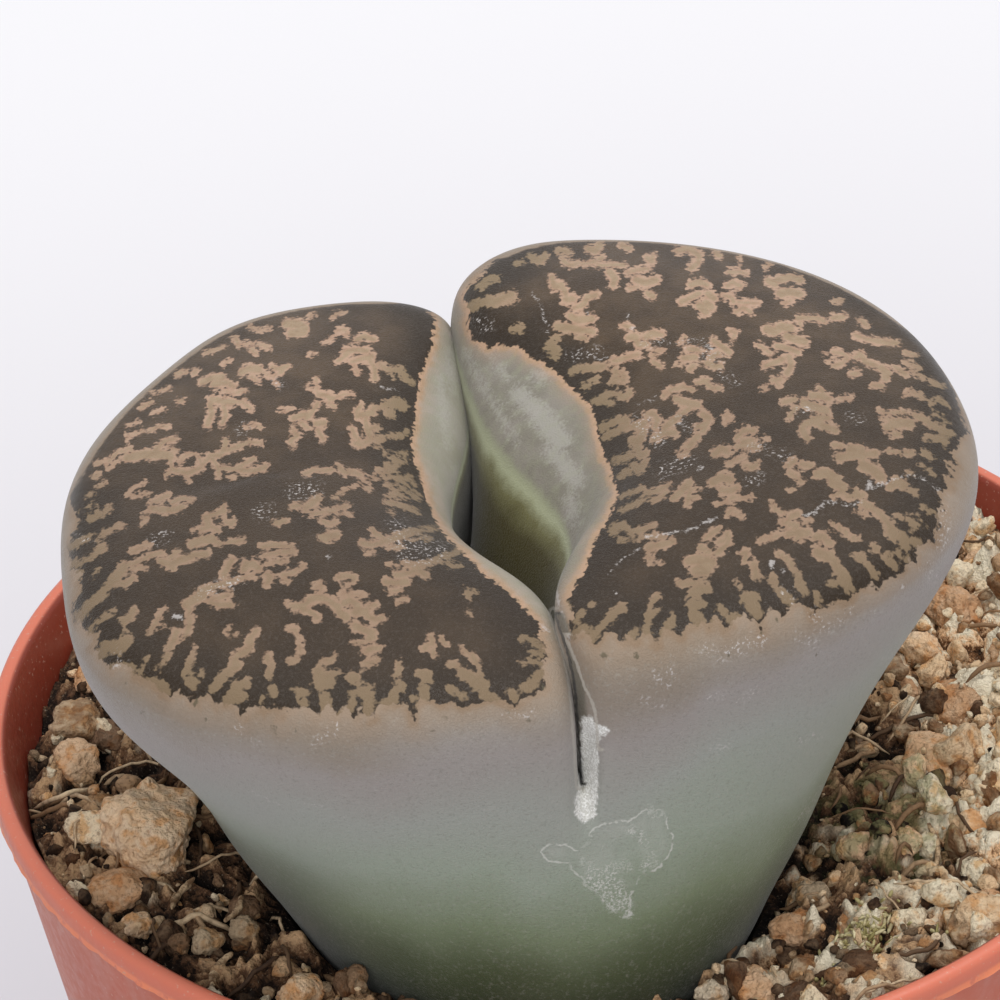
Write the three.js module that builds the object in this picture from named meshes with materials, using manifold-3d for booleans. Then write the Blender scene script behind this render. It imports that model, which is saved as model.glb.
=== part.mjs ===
// A stone plant (lithops) in a small round nursery pot: one pair of fused leaves with a cleft
// between them, a filling of peat and grit, loose crumbs on top and a thin plastic pot.
// Millimetres, +Z up, origin at the centre of the pot's base.

import * as THREE from "three";
import { mergeVertices } from "three/addons/utils/BufferGeometryUtils.js";
import Module from "manifold-3d";

// ---- driving dimensions ----

const GAP = 0.3;                  // clearance between pieces that touch

const POT_HEIGHT = 48;
const POT_RIM_RADIUS = 27.5;      // outside of the lip, a 5.5 cm pot
const POT_LIP_HEIGHT = 1.2;
const POT_LIP_STEP = 0.35;        // how far the lip stands out from the wall
const POT_WALL = 0.85;
const POT_BASE_RADIUS = 19.6;
const POT_FLOOR = 1.1;            // thickness of the floor
const POT_RECESS = 1.4;           // how far the middle of the floor is raised
const POT_RECESS_RADIUS = 13;
const POT_SEGMENTS = 72;
const DRAIN_RADIUS = 2.2;
const DRAIN_CIRCLE = 8.6;
const DRAIN_COUNT = 6;

const SOIL_TOP = 45.8;            // mean height of the filling

// The plant's own frame: "across" runs at right angles to the cleft, "along" runs with it.
const PLANT_X = -2.2;
const PLANT_Y = -6;
const PLANT_TURN = THREE.MathUtils.degToRad(9.5);

const CLEFT_START = 57;           // height where the cleft opens on the flanks
const LIP_LEVEL = 62.2;           // height of the inner lips of the cleft
const FACE_LEVEL = 64.2;          // height where the flanks turn into the flat faces
const DOME = 1.3;                 // rise of each face above its edge
const RIGHT_LIFT = 1.6;           // the right leaf stands this much higher
const ROOT_TIP = 12;              // lowest point of the buried root

const OUTER_COLUMNS = 30;         // points round the outside of each leaf
const INNER_COLUMNS = 14;         // points along each wall of the cleft

// ---- small tools ----

const wasm = await Module();
wasm.setup();

function toSolid(geometry) {
  const bare = geometry.clone();
  bare.deleteAttribute("normal");
  bare.deleteAttribute("uv");
  const merged = mergeVertices(bare, 1e-5);
  return new wasm.Manifold(new wasm.Mesh({
    numProp: 3,
    vertProperties: new Float32Array(merged.attributes.position.array),
    triVerts: new Uint32Array(merged.index.array),
  }));
}

function toGeometry(solid) {
  const mesh = solid.getMesh();
  const geometry = new THREE.BufferGeometry();
  geometry.setAttribute("position", new THREE.BufferAttribute(new Float32Array(mesh.vertProperties), 3));
  geometry.setIndex(new THREE.BufferAttribute(new Uint32Array(mesh.triVerts), 1));
  return geometry;
}

// A smooth curve through (place, value) keys that never overshoots them.
function keyed(places, values) {
  const last = places.length - 1;
  const slope = (i) => (values[i + 1] - values[i]) / (places[i + 1] - places[i]);
  const tangent = values.map((value, i) => {
    if (i === 0) return slope(0);
    if (i === last) return slope(last - 1);
    const before = slope(i - 1);
    const after = slope(i);
    return before * after <= 0 ? 0 : (2 * before * after) / (before + after);
  });
  return (x) => {
    const place = Math.min(Math.max(x, places[0]), places[last]);
    let i = 0;
    while (i < last - 1 && place > places[i + 1]) i += 1;
    const width = places[i + 1] - places[i];
    const t = (place - places[i]) / width;
    const rise = t * t * (3 - 2 * t);
    return values[i] + (values[i + 1] - values[i]) * rise
      + width * (t * (1 - t) * (1 - t) * tangent[i] - t * t * (1 - t) * tangent[i + 1]);
  };
}

function steps(from, to, count) {
  return Array.from({ length: count + 1 }, (_, i) => from + ((to - from) * i) / count);
}

// Points spread evenly along a polyline, drawn closer together towards both of its ends.
function spread(line, count, crowding) {
  const lengths = [0];
  for (let i = 1; i < line.length; i += 1) {
    lengths.push(lengths[i - 1] + Math.hypot(line[i][0] - line[i - 1][0], line[i][1] - line[i - 1][1]));
  }
  const total = lengths[lengths.length - 1];
  let at = 0;
  return steps(0, 1, count).map((share) => {
    const target = total * (share - (crowding * Math.sin(2 * Math.PI * share)) / (2 * Math.PI));
    while (at < line.length - 2 && lengths[at + 1] < target) at += 1;
    const t = (target - lengths[at]) / Math.max(1e-9, lengths[at + 1] - lengths[at]);
    return [
      line[at][0] + (line[at + 1][0] - line[at][0]) * t,
      line[at][1] + (line[at + 1][1] - line[at][1]) * t,
    ];
  });
}

// Collects points and faces of one closed skin.
class Skin {
  constructor() {
    this.points = [];
    this.faces = [];
  }

  point(x, y, z) {
    this.points.push(x, y, z);
    return this.points.length / 3 - 1;
  }

  strip(lower, upper) {
    for (let i = 0; i < lower.length - 1; i += 1) {
      this.faces.push(lower[i], lower[i + 1], upper[i + 1], lower[i], upper[i + 1], upper[i]);
    }
  }

  fan(loop, tip) {
    for (let i = 0; i < loop.length - 1; i += 1) this.faces.push(loop[i], loop[i + 1], tip);
  }

  geometry() {
    const geometry = new THREE.BufferGeometry();
    geometry.setAttribute("position", new THREE.Float32BufferAttribute(this.points, 3));
    geometry.setIndex(this.faces);
    return geometry;
  }
}

// ---- the pot ----

const potWallSlope = (POT_RIM_RADIUS - POT_LIP_STEP - POT_BASE_RADIUS) / (POT_HEIGHT - POT_LIP_HEIGHT);
const potOuter = (height) => POT_BASE_RADIUS + potWallSlope * height;
const potInner = (height) => potOuter(height) - POT_WALL;
const potFloorTop = POT_RECESS + POT_FLOOR;

function potGeometry() {
  const lip = POT_HEIGHT - POT_LIP_HEIGHT;
  const profile = [
    [0, POT_RECESS],
    [POT_RECESS_RADIUS - 1, POT_RECESS],
    [POT_RECESS_RADIUS, 0],
    [POT_BASE_RADIUS - 0.4, 0],
    [potOuter(0.4), 0.4],
    [potOuter(lip), lip],
    [POT_RIM_RADIUS - 0.08, lip + 0.05],
    [POT_RIM_RADIUS, lip + 0.3],
    [POT_RIM_RADIUS - 0.02, POT_HEIGHT - 0.25],
    [POT_RIM_RADIUS - 0.2, POT_HEIGHT - 0.04],
    [POT_RIM_RADIUS - 0.4, POT_HEIGHT],
    [POT_RIM_RADIUS - 0.68, POT_HEIGHT - 0.06],
    [POT_RIM_RADIUS - 0.86, POT_HEIGHT - 0.3],
    [potInner(lip - 0.6), lip - 0.6],
    [potInner(potFloorTop + 0.8), potFloorTop + 0.8],
    [potInner(potFloorTop) - 0.8, potFloorTop],
    [0, potFloorTop],
  ].map(([radius, height]) => new THREE.Vector2(radius, height));
  const shell = new THREE.LatheGeometry(profile, POT_SEGMENTS).rotateX(Math.PI / 2);
  let solid = toSolid(shell);
  const drain = new THREE.CylinderGeometry(DRAIN_RADIUS, DRAIN_RADIUS, 8, 20).rotateX(Math.PI / 2);
  solid = solid.subtract(toSolid(drain.clone()));
  for (let i = 0; i < DRAIN_COUNT; i += 1) {
    const angle = (2 * Math.PI * i) / DRAIN_COUNT;
    const hole = drain.clone().translate(DRAIN_CIRCLE * Math.cos(angle), DRAIN_CIRCLE * Math.sin(angle), 0);
    solid = solid.subtract(toSolid(hole));
  }
  return toGeometry(solid);
}

// ---- the plant ----

// Half widths of the body at each key height: to each side, to the front and to the back.
const HEIGHT_KEYS = [12, 17, 24, 30, 38, 45.7, 49, 52.5, 56, 59.5, 62.4, 63.3, 64.2];
const LEFT_WIDTH = keyed(HEIGHT_KEYS, [0.4, 1.0, 2.2, 4.2, 9.2, 13, 14.7, 16, 17.6, 19.3, 20.1, 19.9, 19.1]);
const RIGHT_WIDTH = keyed(HEIGHT_KEYS, [0.4, 1.0, 2.2, 4.2, 8, 11, 12.8, 14.3, 16.3, 19, 20.2, 20, 19.2]);
const FRONT_WIDTH = keyed(HEIGHT_KEYS, [0.4, 1.0, 2.2, 4.6, 10.5, 15.6, 16, 16.3, 16.7, 17.3, 17.8, 17.6, 16.8]);
const LEFT_BACK = keyed(HEIGHT_KEYS, [0.4, 1.0, 2.2, 4.2, 8, 11, 12.2, 13.3, 14.7, 16.4, 17.4, 17.2, 16.5]);
const RIGHT_BACK = keyed(HEIGHT_KEYS, [0.4, 1.0, 2.2, 4.2, 8, 11, 12.2, 13.5, 15.1, 17, 18.1, 17.9, 17.2]);

// The cleft, by place along it: its floor, its middle line, and each leaf's lip and face edge.
const CLEFT_KEYS = [-18, -15, -12.5, -10, -7.5, -5.5, -1.5, 2.5, 6, 12, 15, 19];
const CLEFT_FLOOR = keyed([-17, -13, -8, -3, 4, 10, 15], [57, 55.5, 53, 52, 52.5, 55, 57]);
const CLEFT_MIDDLE = keyed([-18, -14, -8, -3, 4, 10, 19], [-0.9, -0.9, -0.6, -0.6, -0.4, -0.2, 0.1]);

const LEAVES = {
  left: {
    side: -1,
    lift: 0,
    width: LEFT_WIDTH,
    back: LEFT_BACK,
    frontSquareness: 2.9,
    backSquareness: 2.15,
    faceCentre: [-11.2, 0.6],
    lip: keyed(CLEFT_KEYS, [-1, -1.05, -1.05, -1.05, -1.3, -1.7, -2.3, -1.5, -0.7, -0.35, -0.2, 0]),
    edge: keyed(CLEFT_KEYS, [-1, -1.25, -1.5, -2.1, -3.1, -4, -4.4, -4, -3.2, -1.2, -0.5, 0]),
    frontCorner: keyed([57, 60, 62.4, 64.2], [0.12, 0.7, 1.3, 1.9]),
    backCorner: keyed([57, 59, 62.4, 64.2], [0.12, 1.6, 3.6, 4.3]),
  },
  right: {
    side: 1,
    lift: RIGHT_LIFT,
    width: RIGHT_WIDTH,
    back: RIGHT_BACK,
    frontSquareness: 2.3,
    backSquareness: 2.2,
    faceCentre: [11.4, 0.8],
    lip: keyed(CLEFT_KEYS, [-0.8, -0.9, -0.85, -0.3, 0.7, 1.2, 1.2, 0.7, 0.05, -0.1, 0, 0.2]),
    edge: keyed(CLEFT_KEYS, [-0.8, -0.9, -0.8, 0.3, 2, 3.2, 4.2, 4.1, 3.2, 1.2, 0.5, 0.2]),
    frontCorner: keyed([57, 60, 62.4, 64.2], [0.12, 0.6, 1, 1.4]),
    backCorner: keyed([57, 59, 62.4, 64.2], [0.12, 2, 4.6, 5.4]),
  },
};

const blend = THREE.MathUtils.smoothstep;
const lifted = (leaf, height) => height + leaf.lift * blend(height, 50, 61);

// How square the outline is: an ellipse at the soil, fuller at the head.
function squareness(leaf, end, height) {
  const head = end < 0 ? leaf.frontSquareness : leaf.backSquareness;
  return 2 + (head - 2) * blend(height, 46, 62);
}

function reach(leaf, end, height) {
  return end < 0 ? FRONT_WIDTH(height) : leaf.back(height);
}

function outlinePoint(leaf, angle, height) {
  const across = Math.cos(angle);
  const along = Math.sin(angle);
  const power = squareness(leaf, along, height);
  const inverse = Math.abs(across / leaf.width(height)) ** power
    + Math.abs(along / reach(leaf, along, height)) ** power;
  const radius = inverse ** (-1 / power);
  return [radius * across * leaf.side, radius * along];
}

// The outline's place along the cleft at a place across it, at the front or at the back end.
function outlineAlong(leaf, end, across, height) {
  const power = squareness(leaf, end, height);
  const share = Math.max(0, across * leaf.side) / leaf.width(height);
  return end * reach(leaf, end, height) * Math.max(1e-6, 1 - share ** power) ** (1 / power);
}

function cleftWall(leaf, along, height) {
  const middle = CLEFT_MIDDLE(along);
  const lip = leaf.lip(along);
  if (height <= LIP_LEVEL) {
    const open = Math.max(0, (height - CLEFT_START) / (LIP_LEVEL - CLEFT_START));
    return middle + (lip - middle) * open ** 0.55;
  }
  const slope = Math.min(1, (height - LIP_LEVEL) / (FACE_LEVEL - LIP_LEVEL));
  return lip + (leaf.edge(along) - lip) * (0.75 * slope + 0.25 * slope * slope);
}

// A rounded corner between the cleft's wall and the outline, from the wall out to the outline.
function corner(leaf, end, height) {
  const radius = (end < 0 ? leaf.frontCorner : leaf.backCorner)(height);
  return steps(0, Math.PI / 2, 12).map((angle) => {
    const inward = radius * (1 - Math.cos(angle));
    const back = radius * (1 - Math.sin(angle));
    let along = end * reach(leaf, end, height);
    let across = 0;
    for (let pass = 0; pass < 6; pass += 1) {
      across = cleftWall(leaf, along, height) + leaf.side * inward;
      along = outlineAlong(leaf, end, across, height) - end * back;
    }
    return [across, along];
  });
}

// One leaf's section at a height: a run round its outside and a run back along its cleft wall.
function leafSection(leaf, height) {
  const front = corner(leaf, -1, height);
  const back = corner(leaf, 1, height);
  const frontEdge = leaf.side * front[12][0];
  const backEdge = leaf.side * back[12][0];
  const outline = steps(-Math.PI / 2, Math.PI / 2, 180)
    .map((angle) => outlinePoint(leaf, angle, height))
    .filter(([across, along]) => leaf.side * across > (along < 0 ? frontEdge : backEdge) + 1e-6);
  const outer = [...front.slice(6), ...outline, ...back.slice(6).reverse()];
  const wall = steps(back[0][1], front[0][1], 60).slice(1, -1)
    .map((along) => [cleftWall(leaf, along, height), along]);
  const inner = [...back.slice(0, 7).reverse(), ...wall, ...front.slice(0, 7)];
  return { outer: spread(outer, OUTER_COLUMNS, 0.45), inner: spread(inner, INNER_COLUMNS, 0.3) };
}

// Half of the undivided body's section, from its front point round one side to its back point.
function trunkHalf(leaf, height, grow) {
  const shift = blend(height, 46, CLEFT_START);
  const frontAcross = CLEFT_MIDDLE(-17) * shift;
  const backAcross = CLEFT_MIDDLE(15) * shift;
  const outline = steps(-Math.PI / 2, Math.PI / 2, 180)
    .map((angle) => outlinePoint(leaf, angle, height))
    .filter(([across]) => leaf.side * across > 0.05 * leaf.width(height));
  const line = [
    [frontAcross, -FRONT_WIDTH(height)],
    ...outline,
    [backAcross, 0.5 * (LEFT_BACK(height) + RIGHT_BACK(height))],
  ];
  return spread(line, OUTER_COLUMNS, 0.45).map(([across, along]) => {
    const size = Math.max(1e-6, Math.hypot(across, along));
    return [across * (1 + grow / size), along * (1 + grow / size)];
  });
}

const turnCos = Math.cos(PLANT_TURN);
const turnSin = Math.sin(PLANT_TURN);

function plantPoint(skin, across, along, height) {
  // The buried root bends a little towards the middle of the pot.
  const bend = (1 - blend(height, ROOT_TIP, 40)) * 3;
  return skin.point(
    PLANT_X + across * turnCos - along * turnSin + bend,
    PLANT_Y + across * turnSin + along * turnCos + bend,
    height,
  );
}

function trunkRow(skin, height, grow) {
  const left = trunkHalf(LEAVES.left, height, grow)
    .map(([across, along]) => plantPoint(skin, across, along, height));
  const right = trunkHalf(LEAVES.right, height, grow).slice(1, -1)
    .map(([across, along]) => plantPoint(skin, across, along, lifted(LEAVES.right, height)));
  return { left, right: [left[0], ...right, left[left.length - 1]] };
}

// The left leaf's runs go clockwise seen from above, so its loops are turned round.
function facing(leaf, loop) {
  return leaf.side > 0 ? loop : [...loop].reverse();
}

function trunkRows(skin, heights, grow) {
  const rows = heights.map((height) => trunkRow(skin, height, grow));
  for (let i = 1; i < rows.length; i += 1) {
    skin.strip(facing(LEAVES.left, rows[i - 1].left), facing(LEAVES.left, rows[i].left));
    skin.strip(rows[i - 1].right, rows[i].right);
  }
  const tip = plantPoint(skin, 0, 0, heights[0] - 0.5 - grow);
  const underside = [...rows[0].left, ...[...rows[0].right].reverse().slice(1)];
  skin.fan(underside, tip);
  return rows[rows.length - 1];
}

function bodyGeometry() {
  const skin = new Skin();
  const heights = [12, 17, 22, 27, 31, 34.5, 38, 41.5, 45, 48, 51, 54, CLEFT_START];
  const split = trunkRows(skin, heights, 0);
  const leafHeights = [57.7, 58.8, 60, 61.1, LIP_LEVEL, 62.9, 63.5, 63.9, FACE_LEVEL];

  // The cleft's floor, shared by both leaves, runs from the back of the split to its front.
  const backAlong = 0.5 * (LEFT_BACK(CLEFT_START) + RIGHT_BACK(CLEFT_START));
  const frontAlong = -FRONT_WIDTH(CLEFT_START);
  const floor = spread([[0, backAlong], [0, frontAlong]], INNER_COLUMNS, 0.3)
    .slice(1, -1)
    .map(([, along]) => plantPoint(skin, CLEFT_MIDDLE(along), along, CLEFT_FLOOR(along)));
  const floorLine = [split.left[OUTER_COLUMNS], ...floor, split.left[0]];

  for (const [name, leaf] of Object.entries(LEAVES)) {
    let outer = split[name];
    let inner = floorLine;
    let section;
    for (const height of leafHeights) {
      section = leafSection(leaf, height);
      const sink = 1 - blend(height, CLEFT_START, LIP_LEVEL);
      const newOuter = section.outer
        .map(([across, along]) => plantPoint(skin, across, along, lifted(leaf, height)));
      const wall = section.inner.slice(1, -1).map(([across, along]) => plantPoint(
        skin,
        across,
        along,
        lifted(leaf, height) - sink * Math.max(0, CLEFT_START - CLEFT_FLOOR(along)),
      ));
      const newInner = [newOuter[OUTER_COLUMNS], ...wall, newOuter[0]];
      skin.strip(facing(leaf, outer), facing(leaf, newOuter));
      skin.strip(facing(leaf, inner), facing(leaf, newInner));
      outer = newOuter;
      inner = newInner;
    }

    // The face: rings that shrink towards its centre and rise as a low dome.
    const [centreAcross, centreAlong] = leaf.faceCentre;
    const rim = [...section.outer.slice(0, -1), ...section.inner.slice(0, -1)];
    let loop = [...outer.slice(0, -1), ...inner.slice(0, -1), outer[0]];
    for (const share of [0.88, 0.7, 0.46, 0.2]) {
      const ring = rim.map(([across, along]) => plantPoint(
        skin,
        centreAcross + (across - centreAcross) * share,
        centreAlong + (along - centreAlong) * share,
        lifted(leaf, FACE_LEVEL) + DOME * (1 - share * share),
      ));
      const next = [...ring, ring[0]];
      skin.strip(facing(leaf, loop), facing(leaf, next));
      loop = next;
    }
    const top = plantPoint(skin, centreAcross, centreAlong, lifted(leaf, FACE_LEVEL) + DOME);
    skin.fan(facing(leaf, loop), top);
  }
  return skin.geometry();
}

// The plant's buried end, grown by the clearance, to cut its seat in the filling.
function bodySeat() {
  const skin = new Skin();
  const row = trunkRows(skin, [12, 17, 22, 27, 31, 34.5, 38, 41.5, 45, 48, 51, 54], GAP);
  const lid = plantPoint(skin, 0, 0, 56);
  skin.fan([...facing(LEAVES.left, row.left), ...row.right.slice(1)], lid);
  return toSolid(skin.geometry());
}

// ---- crumbs and strips ----

// A repeatable number from 0 to 1 for a seed.
function chance(seed) {
  const value = Math.sin(seed * 12.9898 + 4.1414) * 43758.5453;
  return value - Math.floor(value);
}

// Loose lumps on the filling: place, radius, and height as a share of the radius.
const PALE = 0xcdb592;
const TAN = 0xb08a62;
const BROWN = 0x6b5240;
const GREY = 0x9a958c;
const WHITE = 0xd9d4c8;
const DARK = 0x4a4744;
const LUMPS = [
  { x: -19.9, y: -7.2, radius: 2.35, tall: 0.8, colour: PALE },
  { x: -21.1, y: -11.2, radius: 1.15, tall: 0.7, colour: TAN },
  { x: -23.6, y: -1.3, radius: 1.1, tall: 0.7, colour: TAN },
  { x: -20.1, y: -13.6, radius: 0.75, tall: 0.7, colour: PALE },
  { x: -15.4, y: -14.6, radius: 0.6, tall: 0.8, colour: GREY },
  { x: -17.1, y: -15.2, radius: 0.65, tall: 0.8, colour: GREY },
  { x: -12.9, y: -19.4, radius: 0.85, tall: 0.8, colour: PALE },
  { x: -22.3, y: 0.8, radius: 0.85, tall: 0.7, colour: BROWN },
  { x: -23.3, y: 5.5, radius: 0.7, tall: 0.8, colour: TAN },
  { x: 18.9, y: 7, radius: 1.35, tall: 0.7, colour: TAN },
  { x: 20.7, y: 10.2, radius: 1.2, tall: 0.7, colour: TAN },
  { x: 16.9, y: 4.2, radius: 1.1, tall: 0.7, colour: PALE },
  { x: 18.6, y: -0.6, radius: 1.6, tall: 0.55, colour: TAN },
  { x: 16.6, y: -5, radius: 1.45, tall: 0.6, colour: TAN },
  { x: 17.3, y: -9.7, radius: 1.3, tall: 0.6, colour: PALE },
  { x: 12.2, y: -11.1, radius: 0.75, tall: 0.7, colour: TAN },
  { x: 14.4, y: -11, radius: 0.8, tall: 0.7, colour: PALE },
  { x: 8.9, y: -16.8, radius: 0.95, tall: 0.7, colour: TAN },
  { x: 9.9, y: -14.4, radius: 0.6, tall: 0.8, colour: GREY },
  { x: 11.5, y: -16.3, radius: 0.75, tall: 0.7, colour: TAN },
  { x: 5, y: -20.8, radius: 0.55, tall: 0.8, colour: WHITE },
  { x: 6.8, y: -20.6, radius: 0.85, tall: 0.7, colour: TAN },
  { x: 8.9, y: -21.4, radius: 0.9, tall: 0.7, colour: BROWN },
  { x: 11.3, y: -20.7, radius: 1.05, tall: 0.7, colour: DARK },
  { x: 17.4, y: -16, radius: 0.9, tall: 0.7, colour: TAN },
  { x: 15.4, y: 0.4, radius: 0.8, tall: 0.7, colour: TAN },
  { x: 20.6, y: 3.4, radius: 0.8, tall: 0.7, colour: TAN },
];

// Dry root and bark strips that lie on the filling: both ends, the bow between, width, thickness.
const STRIPS = [
  { from: [-16.7, -18.3], to: [-15.9, -16.2], bow: 0.25, width: 0.55, thick: 0.3 },
  { from: [-15.5, -12.6], to: [-16.2, -13.9], bow: 0.2, width: 0.4, thick: 0.35 },
  { from: [-18.6, -12.9], to: [-17.7, -10.7], bow: 0.3, width: 0.4, thick: 0.35 },
  { from: [-23.7, -6.6], to: [-22.9, -8.5], bow: 0.3, width: 0.35, thick: 0.35 },
  { from: [15.4, -9.8], to: [15.6, -12.6], bow: 0.3, width: 0.35, thick: 0.35 },
  { from: [19.2, -12.4], to: [19.1, -14.6], bow: 0.4, width: 0.4, thick: 0.35 },
];

const SOIL_BUMP = 0.15;           // height of the filling's swells
const STRIP_REST = 0.25;          // a strip's middle above the filling's mean surface
const LUMP_SHOW = 0.25;           // share of a lump's height that its middle stands above it

function soilHeight(x, y) {
  const waves = Math.sin(0.9 * x + 0.4) * Math.cos(0.7 * y - 0.3)
    + 0.6 * Math.sin(1.7 * x + 1.3 * y)
    + 0.5 * Math.cos(2.1 * y - 1.1 * x + 1);
  return SOIL_TOP + SOIL_BUMP * waves;
}

function lumpGeometry(lump, seed, grow) {
  const ball = new THREE.IcosahedronGeometry(1, 1);
  ball.deleteAttribute("normal");
  ball.deleteAttribute("uv");
  const merged = mergeVertices(ball, 1e-4);
  const spots = merged.attributes.position;
  for (let i = 0; i < spots.count; i += 1) {
    const rough = 0.86 + 0.26 * chance(seed * 71 + i);
    const wide = lump.radius * rough + grow;
    const high = lump.radius * lump.tall * rough + grow;
    spots.setXYZ(i, spots.getX(i) * wide, spots.getY(i) * wide * 0.92, spots.getZ(i) * high);
  }
  const rest = soilHeight(lump.x, lump.y) + LUMP_SHOW * lump.radius * lump.tall;
  return merged.rotateZ(6.3 * chance(seed)).translate(lump.x, lump.y, rest);
}

function stripGeometry(strip, grow) {
  const skin = new Skin();
  const [x0, y0] = strip.from;
  const [x1, y1] = strip.to;
  const length = Math.hypot(x1 - x0, y1 - y0);
  const [ux, uy] = [(x1 - x0) / length, (y1 - y0) / length];
  const sides = 6;
  const pose = (share, overrun) => {
    const bow = strip.bow * Math.sin(Math.PI * share);
    const x = x0 + ux * (share * length + overrun) - uy * bow;
    const y = y0 + uy * (share * length + overrun) + ux * bow;
    return [x, y, soilHeight(x, y) + STRIP_REST];
  };
  const shares = steps(0, 1, 5);
  const rings = shares.map((share, i) => {
    const overrun = i === 0 ? -grow : i === shares.length - 1 ? grow : 0;
    const [x, y, z] = pose(share, overrun);
    const taper = 0.6 + 0.4 * Math.sin(Math.PI * share);
    const ring = [];
    for (let k = 0; k < sides; k += 1) {
      const angle = (2 * Math.PI * k) / sides;
      const aside = (0.5 * strip.width * taper + grow) * Math.cos(angle);
      const up = (0.5 * strip.thick + grow) * Math.sin(angle);
      ring.push(skin.point(x - uy * aside, y + ux * aside, z + up));
    }
    return [...ring, ring[0]];
  });
  for (let i = 1; i < rings.length; i += 1) skin.strip(rings[i - 1], rings[i]);
  const [sx, sy, sz] = pose(0, -grow - 0.15);
  const [ex, ey, ez] = pose(1, grow + 0.15);
  skin.fan([...rings[0]].reverse(), skin.point(sx, sy, sz));
  skin.fan(rings[rings.length - 1], skin.point(ex, ey, ez));
  return skin.geometry();
}

// ---- the filling ----

function soilGeometry() {
  const skin = new Skin();
  const segments = 48;
  const ringAt = (radius, height) => {
    const ring = [];
    for (let k = 0; k < segments; k += 1) {
      const angle = (2 * Math.PI * k) / segments;
      const x = radius * Math.cos(angle);
      const y = radius * Math.sin(angle);
      ring.push(skin.point(x, y, height ?? soilHeight(x, y)));
    }
    return [...ring, ring[0]];
  };
  const bottom = potFloorTop + GAP;
  const side = [bottom + 0.8, 24, 44];
  const rings = [
    ringAt(potInner(bottom) - GAP - 1.1, bottom),
    ...side.map((height) => ringAt(potInner(height) - GAP - 0.05, height)),
    ringAt(potInner(SOIL_TOP) - GAP - 0.15),
    ...[24, 21.5, 19, 16.5, 14, 11, 7, 3].map((radius) => ringAt(radius)),
  ];
  for (let i = 1; i < rings.length; i += 1) skin.strip(rings[i - 1], rings[i]);
  skin.fan([...rings[0]].reverse(), skin.point(0, 0, bottom));
  skin.fan(rings[rings.length - 1], skin.point(0, 0, soilHeight(0, 0)));
  let solid = toSolid(skin.geometry()).subtract(bodySeat());
  LUMPS.forEach((lump, i) => {
    solid = solid.subtract(toSolid(lumpGeometry(lump, i + 1, GAP)));
  });
  STRIPS.forEach((strip) => {
    solid = solid.subtract(toSolid(stripGeometry(strip, GAP)));
  });
  return toGeometry(solid);
}

// ---- the scene graph ----

function material(color, roughness) {
  return new THREE.MeshStandardMaterial({ color, roughness, metalness: 0 });
}

const plantMaterial = material(0x7d8a76, 0.5);
const potMaterial = material(0xb5543f, 0.45);
const soilMaterial = material(0x3b2c20, 0.95);
const stripMaterial = material(0xa98f6c, 0.8);

const part = new THREE.Group();

function place(name, geometry, look) {
  const mesh = new THREE.Mesh(geometry, look);
  mesh.name = name;
  part.add(mesh);
}

place("pot", potGeometry(), potMaterial);
place("soil", soilGeometry(), soilMaterial);
place("leaf_pair", bodyGeometry(), plantMaterial);
LUMPS.forEach((lump, i) => {
  place(`lump_${i + 1}`, lumpGeometry(lump, i + 1, 0), material(lump.colour, 0.9));
});
STRIPS.forEach((strip, i) => place(`strip_${i + 1}`, stripGeometry(strip, 0), stripMaterial));

export default part;
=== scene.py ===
# A potted lithops: a pair of fused leaves with patterned faces, in peat and grit, in a small pot.
# Metres, +Z up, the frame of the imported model. Leaf and soil shapes are worked out in millimetres.
import itertools
import math

import bmesh
import bpy
import numpy as np
from mathutils import Matrix, Vector


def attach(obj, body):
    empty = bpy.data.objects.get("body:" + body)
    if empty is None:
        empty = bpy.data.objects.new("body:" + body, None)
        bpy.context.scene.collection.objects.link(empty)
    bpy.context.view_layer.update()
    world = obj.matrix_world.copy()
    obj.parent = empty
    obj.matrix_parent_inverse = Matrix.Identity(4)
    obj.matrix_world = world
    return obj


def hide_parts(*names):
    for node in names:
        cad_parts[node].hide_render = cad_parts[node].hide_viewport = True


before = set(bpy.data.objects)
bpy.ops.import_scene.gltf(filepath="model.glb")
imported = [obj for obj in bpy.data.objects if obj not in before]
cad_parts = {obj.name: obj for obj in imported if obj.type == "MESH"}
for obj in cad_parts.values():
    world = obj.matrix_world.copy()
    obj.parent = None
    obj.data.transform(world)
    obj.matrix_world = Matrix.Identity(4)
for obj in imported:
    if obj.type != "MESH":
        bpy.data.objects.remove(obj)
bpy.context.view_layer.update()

MM = 0.001

# ---- driving dimensions, as in the solids, in millimetres ----

POT_HEIGHT = 48
POT_RIM_RADIUS = 27.5
POT_LIP_HEIGHT = 1.2
POT_LIP_STEP = 0.35
POT_WALL = 0.85
POT_BASE_RADIUS = 19.6
POT_FLOOR = 1.1
POT_RECESS = 1.4
POT_RECESS_RADIUS = 13
DRAIN_RADIUS = 2.2
DRAIN_CIRCLE = 8.6
DRAIN_COUNT = 6

SOIL_TOP = 45.8
SOIL_BUMP = 0.15

PLANT_X = -2.2
PLANT_Y = -6
PLANT_TURN = math.radians(9.5)
TURN_COS, TURN_SIN = math.cos(PLANT_TURN), math.sin(PLANT_TURN)
CLEFT_START = 57
LIP_LEVEL = 62.2
FACE_LEVEL = 64.2
DOME = 1.3
RIGHT_LIFT = 1.6
LIFT_SPAN = (50, 61)          # heights over which the right leaf takes its lift
SQUARE_SPAN = (46, 62)        # heights over which the outline turns squarer
ROOT_TIP = 12
ROOT_STRAIGHT = 40            # height above which the plant stands upright
ROOT_BEND = 3                 # how far its lower end bends aside, along x and along y

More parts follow.
